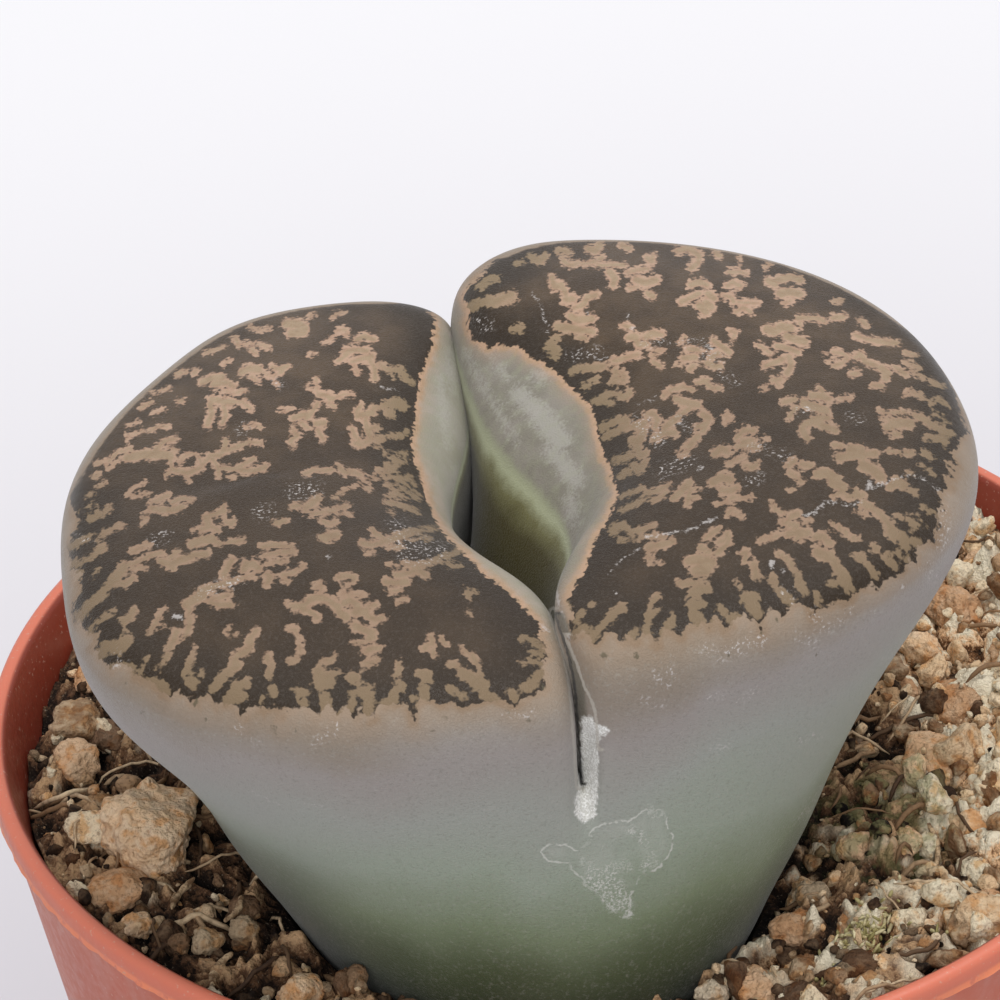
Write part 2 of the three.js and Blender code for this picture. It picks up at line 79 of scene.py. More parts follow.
# The lumps on the filling, one by one: a radius in millimetres and a make.
LUMPS = [
    (2.35, "grit_pale"), (1.15, "grit_tan"), (1.1, "grit_tan"), (0.75, "grit_pale"),
    (0.6, "grit_grey"), (0.65, "grit_grey"), (0.85, "grit_pale"), (0.85, "grit_brown"),
    (0.7, "grit_tan"), (1.35, "grit_tan"), (1.2, "grit_tan"), (1.1, "grit_pale"),
    (1.6, "grit_tan"), (1.45, "grit_tan"), (1.3, "grit_pale"), (0.75, "grit_tan"),
    (0.8, "grit_pale"), (0.95, "grit_tan"), (0.6, "grit_grey"), (0.75, "grit_tan"),
    (0.55, "grit_white"), (0.85, "grit_tan"), (0.9, "grit_brown"), (1.05, "grit_dark"),
    (0.9, "grit_tan"), (0.8, "grit_tan"), (0.8, "grit_tan"),
]
STRIP_COUNT = 6

# ---- how finely the surfaces are drawn, and lengths that only they have ----

POT_COLUMNS = 540
WALL_FOOT = 0.0192            # radius of the middle of the pot's wall at the base, in metres
WALL_LEAN = 0.1613            # how much that radius grows for each metre of height
LIP_FLASH = 46.95             # height of the flash at the lower edge of the pot's lip

SOIL_COLUMNS = 640
SOIL_RINGS = 126              # of the filling's surface, from the wall in to the trunk
POT_GAP = 0.2                 # between the filling and the pot
TRUNK_GAP = 0.2               # between the filling and the buried trunk
COLLAR = 46                   # height at which the filling meets the trunk
CRUMB_SQUARE = 26             # crumbs are dropped up to this far from the axis, each way

TRUNK_SHIFT_START = 46        # height above which the trunk's ends shift towards the cleft's
OUTLINE_STEPS = 721           # points along a leaf's outline before it is spread evenly
WALL_STEPS = 241              # and along its wall of the cleft
CORNER_STEPS = 24             # steps round each rounded corner of a leaf
SOFT_ROUNDS = 45              # rounds of softening the leaves' rims
MARKED_ABOVE = 44             # height above which the leaves carry markings
GROOVE_DEPTH = 0.45           # of the groove under the slit
FLANK_LOW = 43                # heights between which the flanks' colour changes
FLANK_HIGH = 65.5
FIBRE_SIDES = 5
NEAR = 80                     # how far from a marking is still told, in the picture's pixels

# The middle of the mossy patch beside the plant.
MOSS_MIDDLE = (13.6, -9)
# Tufts of moss on the filling: where, how widely they scatter, and how many stems.
MOSS = [
    (12.3, -17.8, 0.5, 36), (11.1, -18.7, 0.6, 36), (13.4, -16.8, 0.45, 30),
    (11.7, -17.3, 0.5, 30), (14.9, -18.3, 0.3, 12), (9.6, -20.9, 0.3, 10),
]

# ---- the camera's place, found from the pot's lip ----

PICTURE = 1000                # the picture is this many pixels each way
FOCAL = 4261.4                # in the picture's pixels
CAMERA_REACH = 200            # from the lip's centre to the camera, along the view
CAMERA_PITCH = math.radians(32.39)
CAMERA_ROLL = math.radians(-3.28)
CAMERA_ASIDE = -3.45
CAMERA_UP = 8.67

view_back = np.array([0, -math.cos(CAMERA_PITCH), math.sin(CAMERA_PITCH)])
view_level = np.array([1.0, 0, 0])
view_rise = np.cross(view_back, view_level)
view_right = math.cos(CAMERA_ROLL) * view_level + math.sin(CAMERA_ROLL) * view_rise
view_up = math.cos(CAMERA_ROLL) * view_rise - math.sin(CAMERA_ROLL) * view_level
camera_place = view_back * CAMERA_REACH + view_right * CAMERA_ASIDE + view_up * CAMERA_UP
camera_place = camera_place + np.array([0, 0, POT_HEIGHT])


def picture_of(points):
    """Where points of the model, in millimetres, lie in the picture, in pixels."""
    away = points - camera_place
    depth = -(away @ view_back)
    across = PICTURE / 2 + FOCAL * (away @ view_right) / depth
    down = PICTURE / 2 - FOCAL * (away @ view_up) / depth
    return np.stack([across, down], axis=-1)


def add_camera():
    data = bpy.data.cameras.new("camera")
    data.sensor_width = 36
    data.lens = FOCAL / PICTURE * data.sensor_width
    data.clip_start = 0.01
    camera = new_object("camera", data)
    turn = np.eye(4)
    turn[:3, 0] = view_right
    turn[:3, 1] = view_up
    turn[:3, 2] = view_back
    turn[:3, 3] = camera_place * MM
    camera.matrix_world = Matrix(turn.tolist())
    bpy.context.scene.camera = camera


# ---- small tools ----

def new_object(name, data):
    made = bpy.data.objects.new(name, data)
    bpy.context.scene.collection.objects.link(made)
    return made


def smooth_step(value, low, high):
    share = np.clip((value - low) / (high - low), 0, 1)
    return share * share * (3 - 2 * share)


def keyed(places, values):
    """A smooth curve through (place, value) keys that never overshoots them."""
    places = np.array(places, float)
    values = np.array(values, float)
    width = np.diff(places)
    slope = np.diff(values) / width
    before, after = slope[:-1], slope[1:]
    same_way = before * after > 0
    total = np.where(same_way, before + after, 1)
    inner = np.where(same_way, 2 * before * after / total, 0)
    tangent = np.concatenate([slope[:1], inner, slope[-1:]])

    def curve(x):
        place = np.clip(np.asarray(x, float), places[0], places[-1])
        i = np.clip(np.searchsorted(places, place, side="right") - 1, 0, len(width) - 1)
        t = (place - places[i]) / width[i]
        rise = t * t * (3 - 2 * t)
        bend = t * (1 - t) ** 2 * tangent[i] - t * t * (1 - t) * tangent[i + 1]
        return values[i] + (values[i + 1] - values[i]) * rise + width[i] * bend

    return curve


def spread(line, count, crowding):
    """Points along a polyline, drawn closer together towards both of its ends."""
    step = np.hypot(*np.diff(line, axis=0).T)
    length = np.concatenate([[0], np.cumsum(step)])
    share = np.linspace(0, 1, count + 1)
    share = (share - crowding * np.sin(2 * np.pi * share) / (2 * np.pi)) * length[-1]
    return np.stack([np.interp(share, length, line[:, k]) for k in (0, 1)], axis=-1)


def rough(points, size, seed):
    """Smooth random values from -1 to 1 at points in space, in lumps about size across."""
    place = np.asarray(points, float) / size
    cell = np.floor(place).astype(np.int64)
    share = place - cell
    share = share * share * (3 - 2 * share)
    total = np.zeros(place.shape[:-1])
    for corner in itertools.product((0, 1), repeat=3):
        spot = (cell + corner) * np.array([73856093, 19349663, 83492791])
        mixed = spot[..., 0] ^ spot[..., 1] ^ spot[..., 2] ^ (seed * 40503)
        mixed = (mixed ^ (mixed >> 13)) * 1274126177
        mixed = (mixed ^ (mixed >> 16)) & 0xFFFFF
        weight = np.prod(np.where(corner, share, 1 - share), axis=-1)
        total += weight * (mixed / 0x7FFFF - 1)
    return total


def closed(loop):
    """A loop with its first point once more at its end."""
    return np.concatenate([loop, loop[:1]])


class Skin:
    """Collects the points and quads of one surface, in millimetres."""

    def __init__(self):
        self.points = []
        self.quads = []
        self.count = 0

    def add(self, points):
        points = np.atleast_2d(points)
        self.points.append(points)
        self.count += len(points)
        return np.arange(self.count - len(points), self.count)

    def strip(self, lower, upper):
        self.quads.append(np.stack([lower[:-1], lower[1:], upper[1:], upper[:-1]], axis=-1))

    def fan(self, loop, tip):
        tips = np.full(len(loop) - 1, tip)
        self.quads.append(np.stack([loop[:-1], loop[1:], tips, tips], axis=-1))

    def join(self, rows):
        """Joins each row to the next: a row of one point is the tip of a fan."""
        for lower, upper in zip(rows[:-1], rows[1:]):
            if len(lower) == 1:
                self.fan(upper[::-1], lower[0])
            elif len(upper) == 1:
                self.fan(lower, upper[0])
            else:
                self.strip(lower, upper)

    def all_points(self):
        return np.concatenate(self.points)

    def mesh(self, name):
        faces = [
            tuple(quad) if quad[2] != quad[3] else tuple(quad[:3])
            for quad in np.concatenate(self.quads).tolist()
        ]
        faces = [face for face in faces if len(set(face)) == len(face)]
        mesh = bpy.data.meshes.new(name)
        mesh.from_pydata((self.all_points() * MM).tolist(), [], faces)
        mesh.validate()
        mesh.shade_smooth()
        return mesh


def add_object(name, mesh, material):
    made = new_object(name, mesh)
    mesh.materials.clear()
    mesh.materials.append(material)
    return made


def set_values(mesh, name, values):
    """Keeps a number for each point of a mesh, for its material to read."""
    made = mesh.attributes.new(name, "FLOAT", "POINT")
    made.data.foreach_set("value", np.asarray(values, np.float32))


# ---- materials ----

def linear(red, green, blue):
    """A colour given as 0 to 255 display values, as the shader takes it."""
    def one(level):
        level /= 255
        return level / 12.92 if level <= 0.04045 else ((level + 0.055) / 1.055) ** 2.4
    return (one(red), one(green), one(blue), 1)


class Shader:
    """A short way to write a node tree."""

    def __init__(self, name):
        self.material = bpy.data.materials.new(name)
        self.material.use_nodes = True
        self.tree = self.material.node_tree
        self.tree.nodes.clear()
        self.surface = self.tree.nodes.new("ShaderNodeBsdfPrincipled")
        output = self.tree.nodes.new("ShaderNodeOutputMaterial")
        self.tree.links.new(self.surface.outputs[0], output.inputs[0])
        self.place = self.node("ShaderNodeTexCoord").outputs["Object"]

    def node(self, kind, **settings):
        made = self.tree.nodes.new(kind)
        for key, value in settings.items():
            setattr(made, key, value)
        return made

    def feed(self, socket, value):
        if isinstance(value, bpy.types.NodeSocket):
            self.tree.links.new(value, socket)
        else:
            socket.default_value = value

    def value(self, name):
        return self.node("ShaderNodeAttribute", attribute_name=name).outputs["Fac"]

    def math(self, operation, first, second=0.0, third=0.0):
        made = self.node("ShaderNodeMath", operation=operation)
        for socket, value in zip(made.inputs, (first, second, third)):
            self.feed(socket, value)
        return made.outputs[0]

    def times(self, first, second):
        return self.math("MULTIPLY", first, second)

    def ramp(self, value, low, high, start=0.0, end=1.0):
        """Smooth change from start to end as the value goes from low to high."""
        made = self.node("ShaderNodeMapRange", interpolation_type="SMOOTHSTEP")
        for socket, level in zip(made.inputs, (value, low, high, start, end)):
            self.feed(socket, level)
        return made.outputs[0]

    def noise(self, size, detail=3.0, rough=0.55, warp=0.0, stretch=None):
        """Noise from 0 to 1 whose lumps are about so many millimetres across."""
        made = self.node("ShaderNodeTexNoise")
        place = self.place
        if stretch:
            mapping = self.node("ShaderNodeMapping")
            self.feed(mapping.inputs["Vector"], place)
            mapping.inputs["Scale"].default_value = stretch
            place = mapping.outputs[0]
        self.feed(made.inputs["Vector"], place)
        made.inputs["Scale"].default_value = 1 / (size * MM)
        made.inputs["Detail"].default_value = detail
        made.inputs["Roughness"].default_value = rough
        made.inputs["Distortion"].default_value = warp
        return made.outputs[0]

    def cells(self, size):
        """How far a spot is from the middle of its cell: cells are about so many millimetres."""
        made = self.node("ShaderNodeTexVoronoi")
        self.feed(made.inputs["Vector"], self.place)
        made.inputs["Scale"].default_value = 1 / (size * MM)
        return made.outputs["Distance"]

    def axes(self):
        """A spot's place in metres, as x, y and z."""
        split = self.node("ShaderNodeSeparateXYZ")
        self.feed(split.inputs[0], self.place)
        return split.outputs

    def height(self):
        return self.math("DIVIDE", self.axes()[2], MM)

    def mix(self, share, first, second, blend="MIX"):
        made = self.node("ShaderNodeMix", data_type="RGBA", blend_type=blend)
        self.feed(made.inputs["Factor"], share)
        for name, value in (("A", first), ("B", second)):
            socket = next(s for s in made.inputs if s.name == name and s.type == "RGBA")
            self.feed(socket, value)
        return next(s for s in made.outputs if s.type == "RGBA")

    def colours(self, value, stops):
        """A colour ramp through (place, colour) stops."""
        made = self.node("ShaderNodeValToRGB")
        self.feed(made.inputs[0], value)
        band = made.color_ramp
        while len(band.elements) < len(stops):
            band.elements.new(0.5)
        for element, (place, colour) in zip(band.elements, stops):
            element.position = place
            element.color = colour
        return made.outputs[0]

    def bump(self, height, strength, depth):
        """Bump that is so many millimetres deep."""
        made = self.node("ShaderNodeBump")
        made.inputs["Strength"].default_value = strength
        made.inputs["Distance"].default_value = depth * MM
        self.feed(made.inputs["Height"], height)
        return made.outputs[0]

    def finish(self, colour, roughness, normal=None, **constants):
        """Feeds the surface: what is the same all over is set on its own socket."""
        self.feed(self.surface.inputs["Base Color"], colour)
        self.feed(self.surface.inputs["Roughness"], roughness)
        if normal:
            self.feed(self.surface.inputs["Normal"], normal)
        for name, value in constants.items():
            self.surface.inputs[name.replace("_", " ")].default_value = value
        return self.material


# ---- the leaves' markings ----

# Each marking is a brush stroke: half its width, then x and y of the points it
# passes through, all in the picture's pixels.

LEFT_ISLES = [
    (6, 127, 458, 140, 455, 156, 454, 170, 456), (4, 155, 450, 165, 441, 177, 438),
    (3, 168, 447, 176, 450), (4, 170, 458, 172, 470, 166, 475), (5, 174, 470, 188, 473, 200, 468),
    (3.5, 184, 474, 190, 480), (3.5, 180, 463, 184, 456, 192, 453, 199, 457, 201, 464),
    (4, 201, 467, 210, 456, 221, 455, 225, 446, 226, 440),
    (3.5, 225, 451, 237, 447, 249, 442, 262, 443), (4, 212, 458, 218, 467, 219, 475),
    (4, 222, 468, 235, 469, 246, 463, 254, 459), (5, 241, 470, 254, 471, 265, 467),
    (3.5, 96, 463, 108, 462, 118, 452, 131, 449), (3, 108, 468, 117, 462),
    (5, 202, 382, 212, 378, 223, 377), (5, 213, 385, 226, 383, 234, 387),
    (4, 224, 391, 235, 393, 244, 390), (5.5, 212, 399, 222, 401, 232, 402),
    (4, 232, 401, 243, 402, 251, 409), (5, 210, 404, 212, 414, 207, 425),
    (4.5, 224, 406, 226, 416, 222, 424), (5, 241, 372, 250, 368, 259, 369),
    (4, 251, 377, 258, 381), (3, 260, 371, 266, 373), (4, 272, 367, 280, 369, 288, 366),
    (3.5, 282, 372, 273, 377, 267, 375), (3, 273, 378, 277, 386), (4, 235, 338, 240, 346),
    (3, 243, 344, 256, 343, 269, 348), (4, 251, 350, 256, 353), (3, 249, 326, 259, 330),
    (2.5, 262, 331, 271, 328), (3, 224, 364, 231, 360), (3, 204, 353, 214, 350, 225, 346),
    (3.5, 176, 374, 186, 372), (4, 194, 373, 197, 371), (2.5, 151, 394, 170, 388),
    (4, 178, 402, 183, 400), (3.5, 141, 408, 152, 402), (3, 152, 413, 164, 410),
    (2.5, 127, 426, 139, 421), (3, 149, 431, 158, 427, 168, 426),
    (3, 127, 438, 136, 433, 144, 431), (2.5, 128, 490, 138, 486, 145, 482),
    (3, 127, 494, 136, 497, 148, 493), (3.5, 152, 503, 160, 499, 168, 495),
    (5, 151, 508, 163, 510, 175, 509, 182, 507), (3.5, 172, 503, 182, 498, 192, 500),
    (3, 147, 512, 143, 518), (4, 204, 517, 213, 515, 222, 511, 224, 506),
    (3, 246, 427, 255, 424, 261, 427), (3, 280, 410, 286, 411, 293, 408),
    (2.5, 229, 478, 233, 477), (3, 98, 487, 106, 482), (4, 90, 518, 103, 513, 111, 507),
    (2.5, 86, 497, 93, 493), (2.5, 92, 478, 99, 474), (2, 81, 511, 96, 503),
    (6, 286, 324, 297, 324, 305, 328), (6, 291, 333, 303, 332), (3, 310, 316, 315, 315),
    (3, 332, 317, 343, 311), (3, 324, 343, 333, 337, 336, 332), (4, 338, 331, 346, 329, 346, 335),
    (4.5, 356, 340, 365, 336, 374, 340), (4, 338, 361, 347, 355, 342, 352),
    (5, 345, 351, 356, 350, 367, 351), (5, 352, 362, 361, 359, 372, 356),
    (4.5, 354, 366, 358, 373), (4.5, 370, 361, 375, 368, 375, 378),
    (4, 379, 364, 386, 369, 396, 370, 401, 369), (3.5, 400, 372, 405, 377, 412, 382),
    (3, 389, 372, 394, 376), (3, 310, 355, 315, 354), (4, 316, 378, 317, 388, 318, 396),
    (3, 308, 388, 315, 391), (5, 318, 394, 326, 395, 333, 399),
    (3.5, 335, 398, 345, 394, 353, 395), (4, 318, 402, 314, 410, 306, 419),
    (3.5, 327, 402, 335, 407), (5, 294, 418, 302, 415, 310, 415), (4, 300, 422, 308, 428),
    (5, 316, 424, 324, 423), (4.5, 318, 430, 323, 439),
    (4, 293, 430, 298, 435, 290, 441, 293, 446), (4, 356, 412, 361, 405),
    (5, 357, 416, 366, 414, 373, 412), (4, 365, 418, 367, 428, 378, 428), (5, 367, 429, 370, 437),
    (4, 352, 429, 355, 437, 361, 441), (4.5, 355, 443, 361, 445, 369, 440),
    (4, 375, 440, 387, 437, 400, 436, 406, 433), (3, 375, 447, 380, 446),
    (4, 373, 408, 384, 406, 394, 401), (5, 385, 404, 399, 402, 405, 407), (4, 387, 411, 392, 416),
    (3, 385, 453, 395, 456, 406, 453), (3, 384, 466, 395, 461, 407, 461),
    (3.5, 378, 470, 388, 471, 396, 467), (3, 333, 498, 345, 490, 358, 484, 372, 478, 385, 476),
    (3.5, 385, 478, 398, 479, 409, 477), (2.5, 386, 486, 396, 489, 406, 486, 416, 484),
    (3.5, 386, 497, 397, 494, 408, 495, 419, 497), (3.5, 386, 502, 396, 504, 406, 508, 419, 513),
    (3, 389, 510, 394, 513), (3, 366, 487, 371, 490),
    (3.5, 305, 474, 313, 470, 325, 470, 333, 469), (4, 338, 466, 344, 472, 352, 472, 361, 474),
    (4, 293, 507, 300, 505), (5, 305, 509, 312, 503, 318, 498),
    (4, 312, 514, 325, 512, 338, 508, 348, 506), (3.5, 97, 538, 109, 531, 123, 525),
    (2.5, 141, 526, 147, 517), (5, 72, 546, 83, 540), (3, 86, 538, 90, 535),
    (3, 76, 566, 84, 561, 93, 555, 99, 550), (4.5, 99, 550, 104, 547), (2, 90, 578, 100, 568),
    (3, 66, 568, 77, 560), (4, 70, 580, 80, 573), (4, 73, 594, 77, 590),
    (5, 79, 617, 92, 603, 103, 592, 114, 580), (6, 112, 582, 119, 574, 124, 567),
    (4, 125, 566, 136, 563, 149, 556, 162, 552), (5, 119, 583, 126, 584, 133, 578),
    (3, 129, 569, 138, 568, 147, 567), (5, 160, 561, 171, 564, 183, 559, 195, 555, 206, 554),
    (3, 169, 568, 174, 569), (3, 170, 558, 179, 550), (4, 132, 552, 140, 548, 148, 544),
    (6, 192, 544, 202, 540, 212, 539), (4, 214, 541, 221, 544), (5, 206, 517, 209, 526),
    (4, 200, 530, 210, 526, 218, 530), (4, 205, 517, 215, 514, 225, 511), (3, 193, 530, 194, 531),
    (4, 227, 542, 234, 542, 243, 540), (4, 226, 521, 231, 524, 234, 521), (4, 276, 523, 285, 521),
    (4, 262, 547, 275, 545, 293, 547), (4, 263, 556, 272, 554, 283, 552, 294, 552),
    (4, 267, 564, 277, 561, 286, 563), (4, 283, 575, 292, 573, 303, 566), (4, 284, 578, 288, 581),
    (5, 224, 576, 228, 567, 232, 560), (6, 244, 570, 246, 564, 253, 564, 259, 568),
    (5, 266, 574, 271, 577, 267, 583), (5, 199, 592, 209, 588, 220, 585, 231, 582),
    (4, 231, 582, 243, 578, 254, 575), (6, 186, 605, 194, 600, 203, 595),
    (5, 189, 608, 190, 617, 188, 628), (4, 187, 633, 181, 641), (5, 176, 631, 174, 640, 169, 647),
    (4, 169, 654, 163, 661, 158, 669), (5, 210, 602, 220, 605, 232, 605),
    (4, 208, 600, 219, 598, 230, 594), (5, 124, 621, 130, 617, 134, 610), (3, 126, 629, 121, 639),
    (4, 149, 632, 155, 625, 158, 617), (3, 160, 625, 163, 626), (3, 159, 615, 165, 608),
    (3, 88, 632, 98, 622, 107, 616, 114, 611), (6, 98, 656, 106, 648, 114, 645),
    (7, 118, 650, 127, 641), (6, 114, 669, 132, 668), (3, 139, 677, 143, 667, 147, 658),
    (6, 148, 681, 159, 684, 165, 692), (5, 188, 682, 188, 670, 191, 660),
    (3.5, 192, 655, 195, 648), (3.5, 194, 687, 199, 679, 203, 672), (5, 212, 690, 219, 681),
    (5, 222, 677, 231, 670, 238, 665, 233, 658), (5, 238, 655, 248, 651, 251, 643),
    (4, 247, 641, 252, 636, 257, 630), (3, 226, 632, 229, 626), (3, 230, 638, 237, 634),
    (5, 267, 656, 271, 665, 269, 674),
    (4, 289, 629, 296, 629, 300, 641, 300, 652, 296, 660, 289, 661), (4, 273, 687, 274, 694),
    (6, 232, 694, 237, 686, 246, 683), (7, 228, 700, 241, 696), (3, 262, 698, 263, 707),
    (4, 294, 688, 299, 697, 304, 704), (4, 301, 692, 306, 690), (3, 286, 602, 289, 606),
    (5, 294, 607, 303, 605, 309, 602), (4, 303, 611, 310, 611),
    (3, 303, 513, 318, 512, 335, 513, 351, 514), (4.5, 323, 521, 329, 524, 335, 522),
    (5, 322, 537, 328, 536, 337, 535), (3, 325, 541, 330, 540), (4, 372, 528, 376, 535, 381, 536),
    (5, 362, 543, 371, 545, 381, 543, 392, 539), (5, 393, 538, 403, 535, 410, 532),
    (3, 412, 531, 424, 529, 437, 529), (3, 405, 538, 418, 537, 430, 540),
    (3.5, 390, 548, 402, 547), (3, 366, 553, 375, 553),
    (4, 403, 563, 416, 567, 428, 563, 440, 559), (3.5, 441, 557, 450, 554, 459, 550),
    (3, 388, 565, 398, 566), (3, 447, 564, 455, 567, 462, 566),
    (5, 396, 575, 408, 573, 419, 570, 426, 575), (5, 385, 582, 396, 583, 407, 582),
    (3.5, 389, 592, 400, 590), (4, 398, 602, 407, 598),
    (4, 338, 577, 347, 575, 354, 578, 353, 581), (3, 342, 586, 350, 586),
    (4, 341, 594, 352, 594, 364, 595), (4, 315, 588, 321, 584, 322, 592),
    (6, 309, 600, 318, 597, 328, 600, 337, 606), (5, 302, 608, 312, 613, 318, 618),
    (6, 344, 603, 350, 600, 357, 605), (6, 339, 612, 347, 617), (6, 355, 612, 366, 611),
    (4.5, 368, 607, 375, 605), (5, 366, 616, 375, 619, 383, 618),
    (6, 355, 626, 364, 630, 372, 633), (5, 367, 640, 374, 637), (4, 353, 642, 362, 643),
    (5, 365, 652, 372, 648, 380, 648), (4, 364, 664, 372, 663, 378, 660), (7, 352, 677, 355, 678),
    (4, 322, 658, 330, 662, 335, 655), (6, 318, 670, 320, 686), (6, 325, 677, 331, 683),
    (4, 330, 675, 337, 672), (6, 324, 697, 326, 707, 325, 716),
    (4, 352, 693, 354, 703, 347, 709, 340, 716), (5, 364, 690, 369, 695, 366, 703, 369, 711),
    (3.5, 367, 687, 373, 686), (3.5, 398, 662, 400, 669), (3.5, 400, 670, 395, 677),
    (5, 398, 683, 402, 688, 394, 691, 395, 697), (5, 391, 701, 383, 706),
    (5, 420, 673, 427, 674, 429, 681), (6, 424, 687, 423, 696), (3.5, 412, 698, 416, 705),
    (4.5, 430, 636, 433, 642, 424, 648), (4, 441, 638, 445, 644), (4, 433, 650, 434, 655),
    (4, 462, 649, 467, 652), (4.5, 472, 655, 477, 663), (4, 449, 665, 458, 665),
    (7, 462, 672, 470, 677, 476, 684), (5, 480, 677, 485, 686, 486, 696),
    (4, 448, 687, 456, 693, 465, 698), (4, 467, 590, 469, 597), (3, 470, 590, 476, 592),
    (3, 468, 612, 471, 615), (4.5, 509, 692, 516, 698), (3.5, 493, 697, 501, 703),
    (4, 523, 638, 533, 642, 543, 650), (4, 532, 652, 540, 655), (4, 530, 660, 540, 663),
    (2.5, 520, 661, 523, 663), (5, 536, 678, 545, 672), (6, 525, 688, 533, 684),
]
